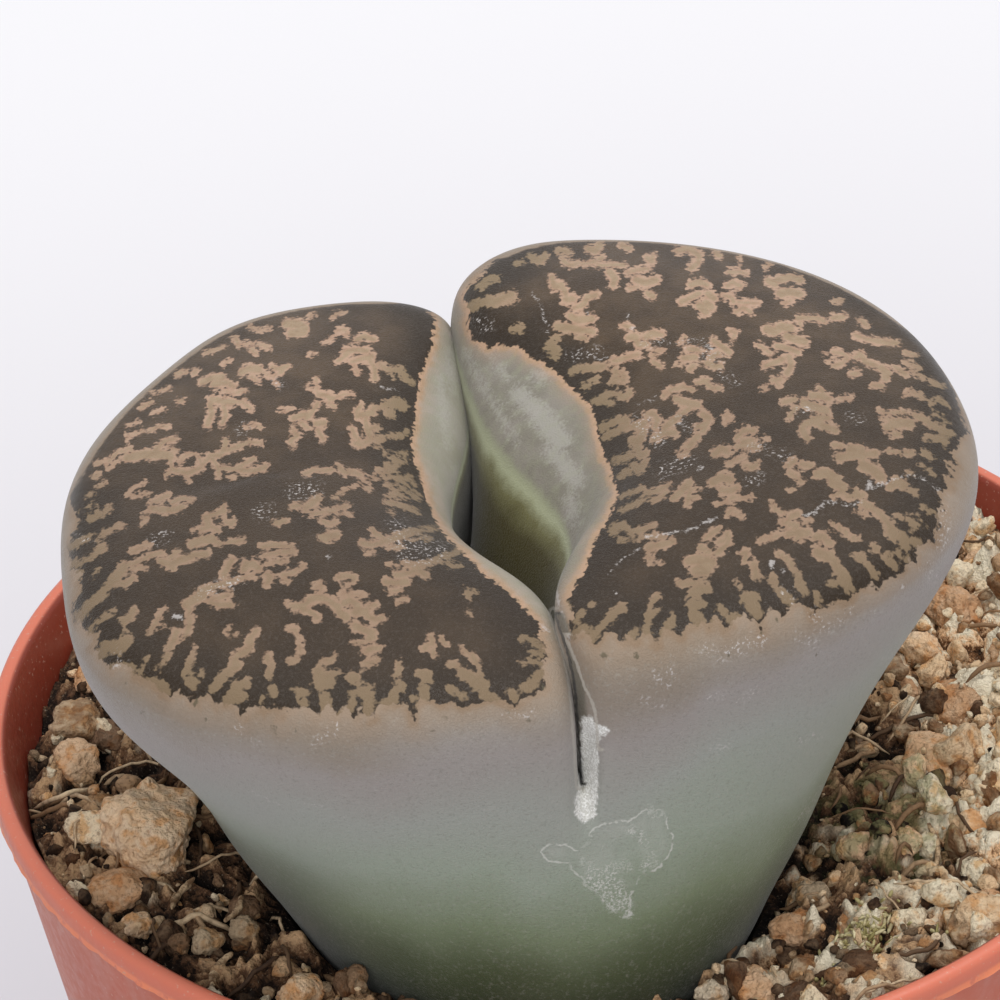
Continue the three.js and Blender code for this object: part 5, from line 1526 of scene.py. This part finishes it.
def soil_material():
    shader = Shader("soil")
    raised = shader.value("raised")
    fine = shader.noise(0.35, 4, 0.7)
    grain = shader.noise(0.12, 2)
    # The colour follows the relief: darkest in the creases between crumbs and in the bump's hollows,
    # which is painted shade, and palest on the crumbs' tops.
    level = shader.math("MULTIPLY_ADD", raised, 0.55, shader.math("MULTIPLY_ADD", fine, 1.0, -0.42))
    peat = shader.colours(level, [
        (0.16, linear(9, 6, 5)), (0.46, linear(44, 30, 21)), (0.7, linear(116, 84, 60)),
        (0.95, linear(206, 168, 128)),
    ])
    loam = shader.colours(level, [
        (0.17, linear(16, 11, 7)), (0.36, linear(118, 80, 50)), (0.5, linear(244, 200, 154)),
        (0.7, linear(255, 242, 214)),
    ])
    colour = shader.mix(shader.ramp(shader.value("sand"), 0.25, 0.65), peat, loam)
    colour = shader.mix(shader.ramp(grain, 0.62, 0.74, 0.0, 0.5), colour, linear(190, 170, 146))
    tufts = shader.ramp(shader.noise(0.8, 2), 0.45, 0.6)
    mossy = shader.times(shader.value("mossy"), tufts)
    colour = shader.mix(shader.times(mossy, 0.6), colour, linear(112, 116, 74))
    relief = shader.math("ADD", fine, shader.times(grain, 0.4))
    return shader.finish(colour, 0.92, shader.bump(relief, 1.0, 0.4), Specular_IOR_Level=0.25)


def crumb_material(name, dark, middle, light, dust):
    """Crumbs of one make: each has its own tint, with pores and pale dust, painted shade in the
    hollows of its bumps, and painted shade low down where it sits in the filling.
    """
    shader = Shader(name)
    tint = shader.value("tint")
    patchy = shader.noise(0.7, 3)
    fine = shader.noise(0.25, 4, 0.7)
    pores = shader.cells(0.22)
    colour = shader.colours(tint, [(0.0, dark), (0.5, middle), (1.0, light)])
    colour = shader.mix(shader.ramp(patchy, 0.4, 0.65, 0.0, 0.4), colour, dust)
    rust = shader.times(shader.ramp(shader.noise(0.9, 3), 0.48, 0.64), 0.8)
    colour = shader.mix(rust, colour, linear(238, 204, 164), "MULTIPLY")
    # Painted shade in the low spots of the same noise that gives the bump.
    colour = shader.mix(shader.ramp(fine, 0.5, 0.3, 0.0, 0.6), colour, dark)
    mossy = shader.times(shader.value("mossy"), shader.ramp(patchy, 0.4, 0.6))
    colour = shader.mix(shader.times(mossy, 0.6), colour, linear(150, 152, 104))
    # Painted shade low down on each crumb, where it sits in the filling.
    bedded_shade = shader.ramp(shader.value("stands"), 0.15, -0.2)
    colour = shader.mix(shader.times(bedded_shade, 0.75), colour, linear(24, 16, 11))
    relief = shader.math("MULTIPLY_ADD", pores, 0.35, fine)
    return shader.finish(colour, 0.9, shader.bump(relief, 1.0, 0.35), Specular_IOR_Level=0.25)


def ball(rings):
    """The points and triangles of an icosphere."""
    made = bmesh.new()
    bmesh.ops.create_icosphere(made, subdivisions=rings, radius=1)
    points = np.array([vert.co[:] for vert in made.verts])
    faces = np.array([[vert.index for vert in face.verts] for face in made.faces])
    made.free()
    return points, faces


def turned(points, random, count):
    """Each of count copies of the points, turned at random."""
    spin = random.normal(size=(count, 4))
    w, x, y, z = (spin / np.linalg.norm(spin, axis=1, keepdims=True)).T
    turn = np.empty((count, 3, 3))
    turn[:, 0] = np.stack([1 - 2 * (y * y + z * z), 2 * (x * y - z * w), 2 * (x * z + y * w)], -1)
    turn[:, 1] = np.stack([2 * (x * y + z * w), 1 - 2 * (x * x + z * z), 2 * (y * z - x * w)], -1)
    turn[:, 2] = np.stack([2 * (x * z - y * w), 2 * (y * z + x * w), 1 - 2 * (x * x + y * y)], -1)
    return np.einsum("nij,kj->nki", turn, points)


def free_spots(random, count, wanted):
    """Places on the filling clear of the trunk and the wall, kept as often as wanted says."""
    angle = np.linspace(-np.pi, np.pi, 360, endpoint=False)
    middle, reach = trunk_loop(COLLAR + 0.4, angle, 0.1)
    kept = []
    total = 0
    while total < count:
        spots = random.uniform(-CRUMB_SQUARE, CRUMB_SQUARE, (4 * count, 2))
        away = spots - middle
        edge = np.interp(np.arctan2(away[:, 1], away[:, 0]), angle, reach, period=2 * np.pi)
        fits = (np.hypot(*spots.T) < pot_inner(SOIL_TOP) - 0.4) & (np.hypot(*away.T) > edge + 0.35)
        fits &= random.random(len(spots)) < wanted(spots[:, 0], spots[:, 1])
        kept.append(spots[fits])
        total += fits.sum()
    return np.concatenate(kept)[:count]


def chipped(rays, random, count, near, far):
    """How far each of count broken stones reaches along rays: flat faces lie near to far out."""
    faces = random.normal(size=(count, 11, 3))
    faces /= np.linalg.norm(faces, axis=2, keepdims=True)
    away = random.uniform(near, far, (count, 11, 1))
    lean = np.maximum(np.einsum("nkj,pj->nkp", faces, rays), 0.2)
    return np.minimum((away / lean).min(axis=1), 1.3)


def knobbly(points, seed):
    """How far a crumb's skin stands out, as shares of its radius, at points on a unit ball."""
    bend = np.stack([rough(points, 0.8, seed + k) for k in (5, 6, 7)], axis=-1)
    points = points + 0.4 * bend
    swell = 0.72 + 0.5 * np.abs(rough(points, 1.0, seed)) + 0.35 * rough(points, 1.5, seed + 3)
    swell += 0.36 * np.abs(rough(points, 0.5, seed + 1))
    return swell + 0.24 * np.abs(rough(points, 0.24, seed + 2))


def set_bedding(mesh, points):
    """Keeps how far each point stands above the filling, and how mossy it is there."""
    x, y, z = points.T
    set_values(mesh, "stands", z - soil_height(x, y))
    set_values(mesh, "mossy", moss_patch(x, y))


def add_crumbs(name, seed, count, rings, small, large, wanted, material, heap=0.0):
    """Many loose crumbs as one piece, lying in and on the filling's surface."""
    random = np.random.default_rng(seed)
    points, faces = ball(rings)
    spots = free_spots(random, count, wanted)
    size = small * (large / small) ** (random.random(count) ** 2.2)
    shape = random.uniform(0.65, 1.25, (count, 1, 3)) * size[:, None, None]
    place = random.uniform(0, 900, (count, 1, 3))
    swell = knobbly((points[None] + place).reshape(-1, 3), 21).reshape(count, -1)
    swell = (0.45 + 0.55 * swell) * chipped(points, random, count, 0.6, 1.1)
    local = turned(points, random, count) * swell[:, :, None] * shape
    rest = soil_height(spots[:, 0], spots[:, 1]) + size * random.uniform(-0.1, 0.6, count)
    rest += heap * random.random(count) ** 2
    local += np.column_stack([spots, rest])[:, None, :]
    radius = np.hypot(local[..., 0], local[..., 1])
    limit = pot_inner(SOIL_TOP) - 0.05
    local[..., :2] *= np.minimum(1, limit / radius)[..., None]
    shift = np.arange(count)[:, None, None] * len(points)
    mesh = bpy.data.meshes.new(name)
    local = local.reshape(-1, 3)
    mesh.from_pydata((local * MM).tolist(), [], (faces + shift).reshape(-1, 3).tolist())
    mesh.shade_smooth()
    set_values(mesh, "tint", np.repeat(random.random(count) ** 1.1, len(points)))
    set_bedding(mesh, local)
    crumbs = add_object(name, mesh, material)
    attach(crumbs, "root")


def add_litter():
    tan = crumb_material("tan_crumbs", linear(116, 78, 48), linear(254, 218, 174),
                         linear(255, 242, 212), linear(255, 232, 196))
    peat = crumb_material("peat_crumbs", linear(16, 11, 8), linear(62, 44, 32),
                          linear(240, 208, 168), linear(150, 120, 92))
    brown = crumb_material("brown_crumbs", linear(34, 23, 16), linear(114, 82, 58),
                           linear(226, 186, 144), linear(176, 146, 116))
    add_crumbs("crumbs_peat", 1, 1200, 2, 0.1, 0.45,
               lambda x, y: 1 - 0.7 * on_right(x, y), peat)
    add_crumbs("crumbs_tan", 3, 1200, 2, 0.08, 0.32,
               lambda x, y: 0.25 + 0.75 * on_right(x, y), tan, 0.3)
    add_crumbs("clods_brown", 2, 220, 3, 0.25, 0.75,
               lambda x, y: 0.9 - 0.2 * on_right(x, y), brown, 0.2)
    add_crumbs("clods_tan", 4, 250, 3, 0.25, 0.75,
               lambda x, y: 0.12 + 0.88 * on_right(x, y), tan, 0.3)
    add_crumbs("clods_large", 5, 34, 4, 0.7, 1.3,
               lambda x, y: 0.15 + 0.85 * on_right(x, y), tan)


# ---- lumps and strips ----

def divided(name, levels, material):
    """A piece with a finely divided copy of a solid's mesh, its points and their normals."""
    made = add_object("rough_" + name, bpy.data.objects[name].data.copy(), material)
    weld = made.modifiers.new("weld", "WELD")
    weld.merge_threshold = 1e-6
    divide = made.modifiers.new("divide", "SUBSURF")
    divide.levels = levels
    keep_modifiers(made)
    count = len(made.data.vertices)
    points = np.empty(count * 3, np.float32)
    normals = np.empty(count * 3, np.float32)
    made.data.vertices.foreach_get("co", points)
    made.data.vertices.foreach_get("normal", normals)
    return made, points.reshape(-1, 3) / MM, normals.reshape(-1, 3).astype(float)


def keep_points(made, points):
    made.data.vertices.foreach_set("co", (points * MM).astype(np.float32).ravel())
    made.data.update()
    made.data.shade_smooth()


def add_lumps():
    """The lumps: finer copies of the solids, chipped and pitted."""
    makes = {
        "pale": ((176, 120, 74), (252, 212, 168), (255, 234, 204), (252, 232, 206)),
        "tan": ((128, 86, 54), (228, 180, 136), (250, 220, 184), (238, 210, 178)),
        "brown": ((56, 38, 28), (116, 86, 64), (160, 128, 100), (140, 120, 100)),
        "grey": ((112, 92, 70), (196, 170, 138), (226, 204, 172), (214, 190, 158)),
        "white": ((150, 130, 106), (220, 198, 168), (242, 226, 200), (234, 216, 188)),
        "dark": ((30, 29, 30), (74, 72, 74), (120, 116, 114), (112, 108, 106)),
    }
    materials = {}
    for make, tones in makes.items():
        colours = [linear(*tone) for tone in tones]
        materials["grit_" + make] = crumb_material(make + "_lumps", *colours)
    for index, (radius, slot) in enumerate(LUMPS, start=1):
        name = f"lump_{index}"
        levels = 4 if radius > 2 else 3 if radius > 1.3 else 2
        made, points, _ = divided(name, levels, materials[slot])
        middle = (points.min(0) + points.max(0)) / 2
        stone = (points - middle) / radius + 10 * index + 3
        random = np.random.default_rng(index)
        rays = points - middle
        rays /= np.linalg.norm(rays, axis=1, keepdims=True)
        swell = 0.94 + 0.26 * np.abs(rough(stone, 0.9, 60)) + 0.26 * rough(stone, 1.5, 63)
        swell *= chipped(rays, random, 1, 0.78, 1.12)[0]
        swell += 0.2 * np.abs(rough(stone, 0.4, 61)) + 0.09 * rough(stone, 0.16, 62)
        swell += 0.05 * rough(stone, 0.08, 64)
        points = middle + (points - middle) * swell[:, None]
        keep_points(made, points)
        set_values(made.data, "tint", np.full(len(points), 0.35 + 0.4 * ((index * 0.618) % 1)))
        set_bedding(made.data, points)
        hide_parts(name)
        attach(made, "root")


def bark_material():
    shader = Shader("bark")
    fibre = shader.noise(0.5, 4, 0.7, warp=0.4)
    fine = shader.noise(0.15, 2)
    colour = shader.mix(shader.ramp(fibre, 0.35, 0.65), linear(120, 92, 66), linear(206, 178, 142))
    colour = shader.mix(shader.ramp(fine, 0.5, 0.3, 0.0, 0.6), colour, linear(76, 54, 38))
    return shader.finish(colour, 0.8, shader.bump(fibre, 0.7, 0.1), Specular_IOR_Level=0.3)


def add_strips():
    """The bark strips: finer copies of the solids, with a fibrous skin."""
    bark = bark_material()
    for index in range(1, STRIP_COUNT + 1):
        name = f"strip_{index}"
        made, points, normals = divided(name, 2, bark)
        swell = 0.05 * rough(points, 0.5, index + 7) + 0.03 * rough(points, 0.2, index + 17)
        keep_points(made, points + normals * swell[:, None])
        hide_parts(name)
        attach(made, "root")


# ---- fibres and moss ----

def tube(line, width):
    """The rings of a thin round fibre along a line, tapering to its ends."""
    line = np.asarray(line, float)
    run = np.gradient(line, axis=0)
    run /= np.linalg.norm(run, axis=1, keepdims=True)
    side = np.cross(run, [0.13, 0.21, 0.97])
    side /= np.linalg.norm(side, axis=1, keepdims=True)
    up = np.cross(run, side)
    taper = np.sqrt(np.clip(1 - np.linspace(-1, 1, len(line)) ** 6, 0.06, 1))
    turn = np.linspace(0, 2 * np.pi, FIBRE_SIDES, endpoint=False)[None, :, None]
    ring = np.cos(turn) * side[:, None] + np.sin(turn) * up[:, None]
    return line[:, None] + ring * (0.5 * width * taper)[:, None, None]


class Fibres:
    """Gathers fibres into one piece."""

    def __init__(self):
        self.skin = Skin()
        self.tints = []

    def add(self, line, width, tint):
        rings = tube(line, width)
        first = self.skin.add(rings[0].mean(0))
        rows = [closed(self.skin.add(ring)) for ring in rings]
        last = self.skin.add(rings[-1].mean(0))
        self.skin.join([first, *rows, last])
        self.tints.append(np.full(len(rings) * FIBRE_SIDES + 2, tint))

    def finish(self, name, material, slot):
        mesh = self.skin.mesh(name)
        set_values(mesh, "tint", np.concatenate(self.tints))
        made = add_object(name, mesh, material)
        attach(made, "root")


def fibre_line(random, start, heading, length, curl, lift):
    """A wandering line over the filling from a start point."""
    steps = max(6, int(length / 0.35))
    turn = heading + np.cumsum(random.normal(0, curl, steps)) + random.normal(0, curl * 2)
    step = length / steps
    x = start[0] + np.cumsum(np.cos(turn)) * step
    y = start[1] + np.cumsum(np.sin(turn)) * step
    share = np.linspace(0, 1, steps)
    rise = lift * np.sin(np.pi * share) + 0.12
    limit = pot_inner(SOIL_TOP) - 0.25
    shrink = np.minimum(1, limit / np.hypot(x, y))
    x, y = x * shrink, y * shrink
    height = soil_height(x, y)
    smooth = np.convolve(np.pad(height, 3, mode="edge"), np.ones(7) / 7, mode="valid")
    return np.stack([x, y, np.maximum(smooth, height * 0.5 + smooth * 0.5) + rise], axis=-1)


def add_fibres():
    random = np.random.default_rng(31)
    shader = Shader("fibres")
    colour = shader.colours(
        shader.value("tint"),
        [(0.0, linear(58, 40, 28)), (0.5, linear(150, 118, 86)), (1.0, linear(214, 190, 156))],
    )
    streak = shader.noise(0.3, 3)
    colour = shader.mix(shader.ramp(streak, 0.4, 0.65, 0.0, 0.45), colour, linear(98, 74, 54))
    look = shader.finish(colour, 0.75, shader.bump(streak, 0.5, 0.05), Specular_IOR_Level=0.3)
    fibres = Fibres()
    spots = free_spots(random, 300, lambda x, y: 1 - 0.6 * on_right(x, y))
    for spot in spots:
        length = random.uniform(1.2, 4.5)
        line = fibre_line(random, spot, random.uniform(0, 2 * np.pi), length, 0.22,
                          random.uniform(0.1, 0.8))
        fibres.add(line, random.uniform(0.08, 0.3), random.random())
    fibres.finish("fibres", look, "bark")


def add_moss():
    """Tufts of young moss by the dark lump at the front."""
    random = np.random.default_rng(57)
    shader = Shader("moss")
    colour = shader.colours(
        shader.value("tint"),
        [(0.0, linear(140, 130, 78)), (0.5, linear(196, 184, 132)), (1.0, linear(230, 218, 180))],
    )
    darker = shader.ramp(shader.noise(0.2, 2), 0.4, 0.7, 0.0, 0.4)
    colour = shader.mix(darker, colour, linear(120, 112, 66))
    look = shader.finish(colour, 0.7, shader.bump(shader.noise(0.1, 2), 0.4, 0.04))
    moss = Fibres()
    for x, y, reach, count in MOSS:
        for _ in range(count):
            spot = np.array([x, y]) + random.normal(0, reach, 2)
            lean = random.normal(0, 0.25, 2)
            tall = random.uniform(0.15, 0.4)
            share = np.linspace(0, 1, 5)[:, None]
            base = soil_height(spot[:1], spot[1:])[0] + 0.1
            line = np.hstack([spot + lean * share, base + tall * share])
            moss.add(line, random.uniform(0.1, 0.2), random.random())
    moss.finish("moss", look, "soil")


# ---- the stage ----

def add_stage():
    shader = Shader("stage")
    x, y, _ = shader.axes()
    away = shader.math("MULTIPLY_ADD", x, -0.12, y)
    # The paper darkens towards the front, round the pot: painted shade.
    paper = shader.colours(
        shader.ramp(away, -0.06, 0.22),
        [(0.0, linear(182, 181, 188)), (0.5, linear(222, 220, 224)), (1.0, linear(249, 249, 251))],
    )
    material = shader.finish(paper, 0.9)
    bpy.ops.mesh.primitive_plane_add(size=6)
    floor = bpy.context.object
    floor.name = "floor"
    floor.data.materials.append(material)
    world = bpy.data.worlds.new("studio")
    bpy.context.scene.world = world
    world.use_nodes = True
    back = world.node_tree.nodes["Background"]
    back.inputs["Color"].default_value = linear(250, 249, 252)
    back.inputs["Strength"].default_value = 0.58
    add_light("overhead", (0.09, 0.04, 0.6), 0.4, 1.8)
    add_light("front", (-0.04, -0.56, 0.4), 0.4, 1.45)


def add_light(name, place, size, power):
    data = bpy.data.lights.new(name, "AREA")
    data.shape = "DISK"
    data.size = size
    data.energy = power
    light = new_object(name, data)
    light.location = place
    aim = np.array([0, 0, POT_HEIGHT * MM]) - np.array(place)
    light.rotation_euler = Vector(aim).to_track_quat("-Z", "Y").to_euler()


add_camera()
bpy.context.scene.view_settings.view_transform = "Standard"
add_leaves()
add_pot()
add_soil()
add_litter()
add_lumps()
add_strips()
add_fibres()
add_moss()
add_stage()
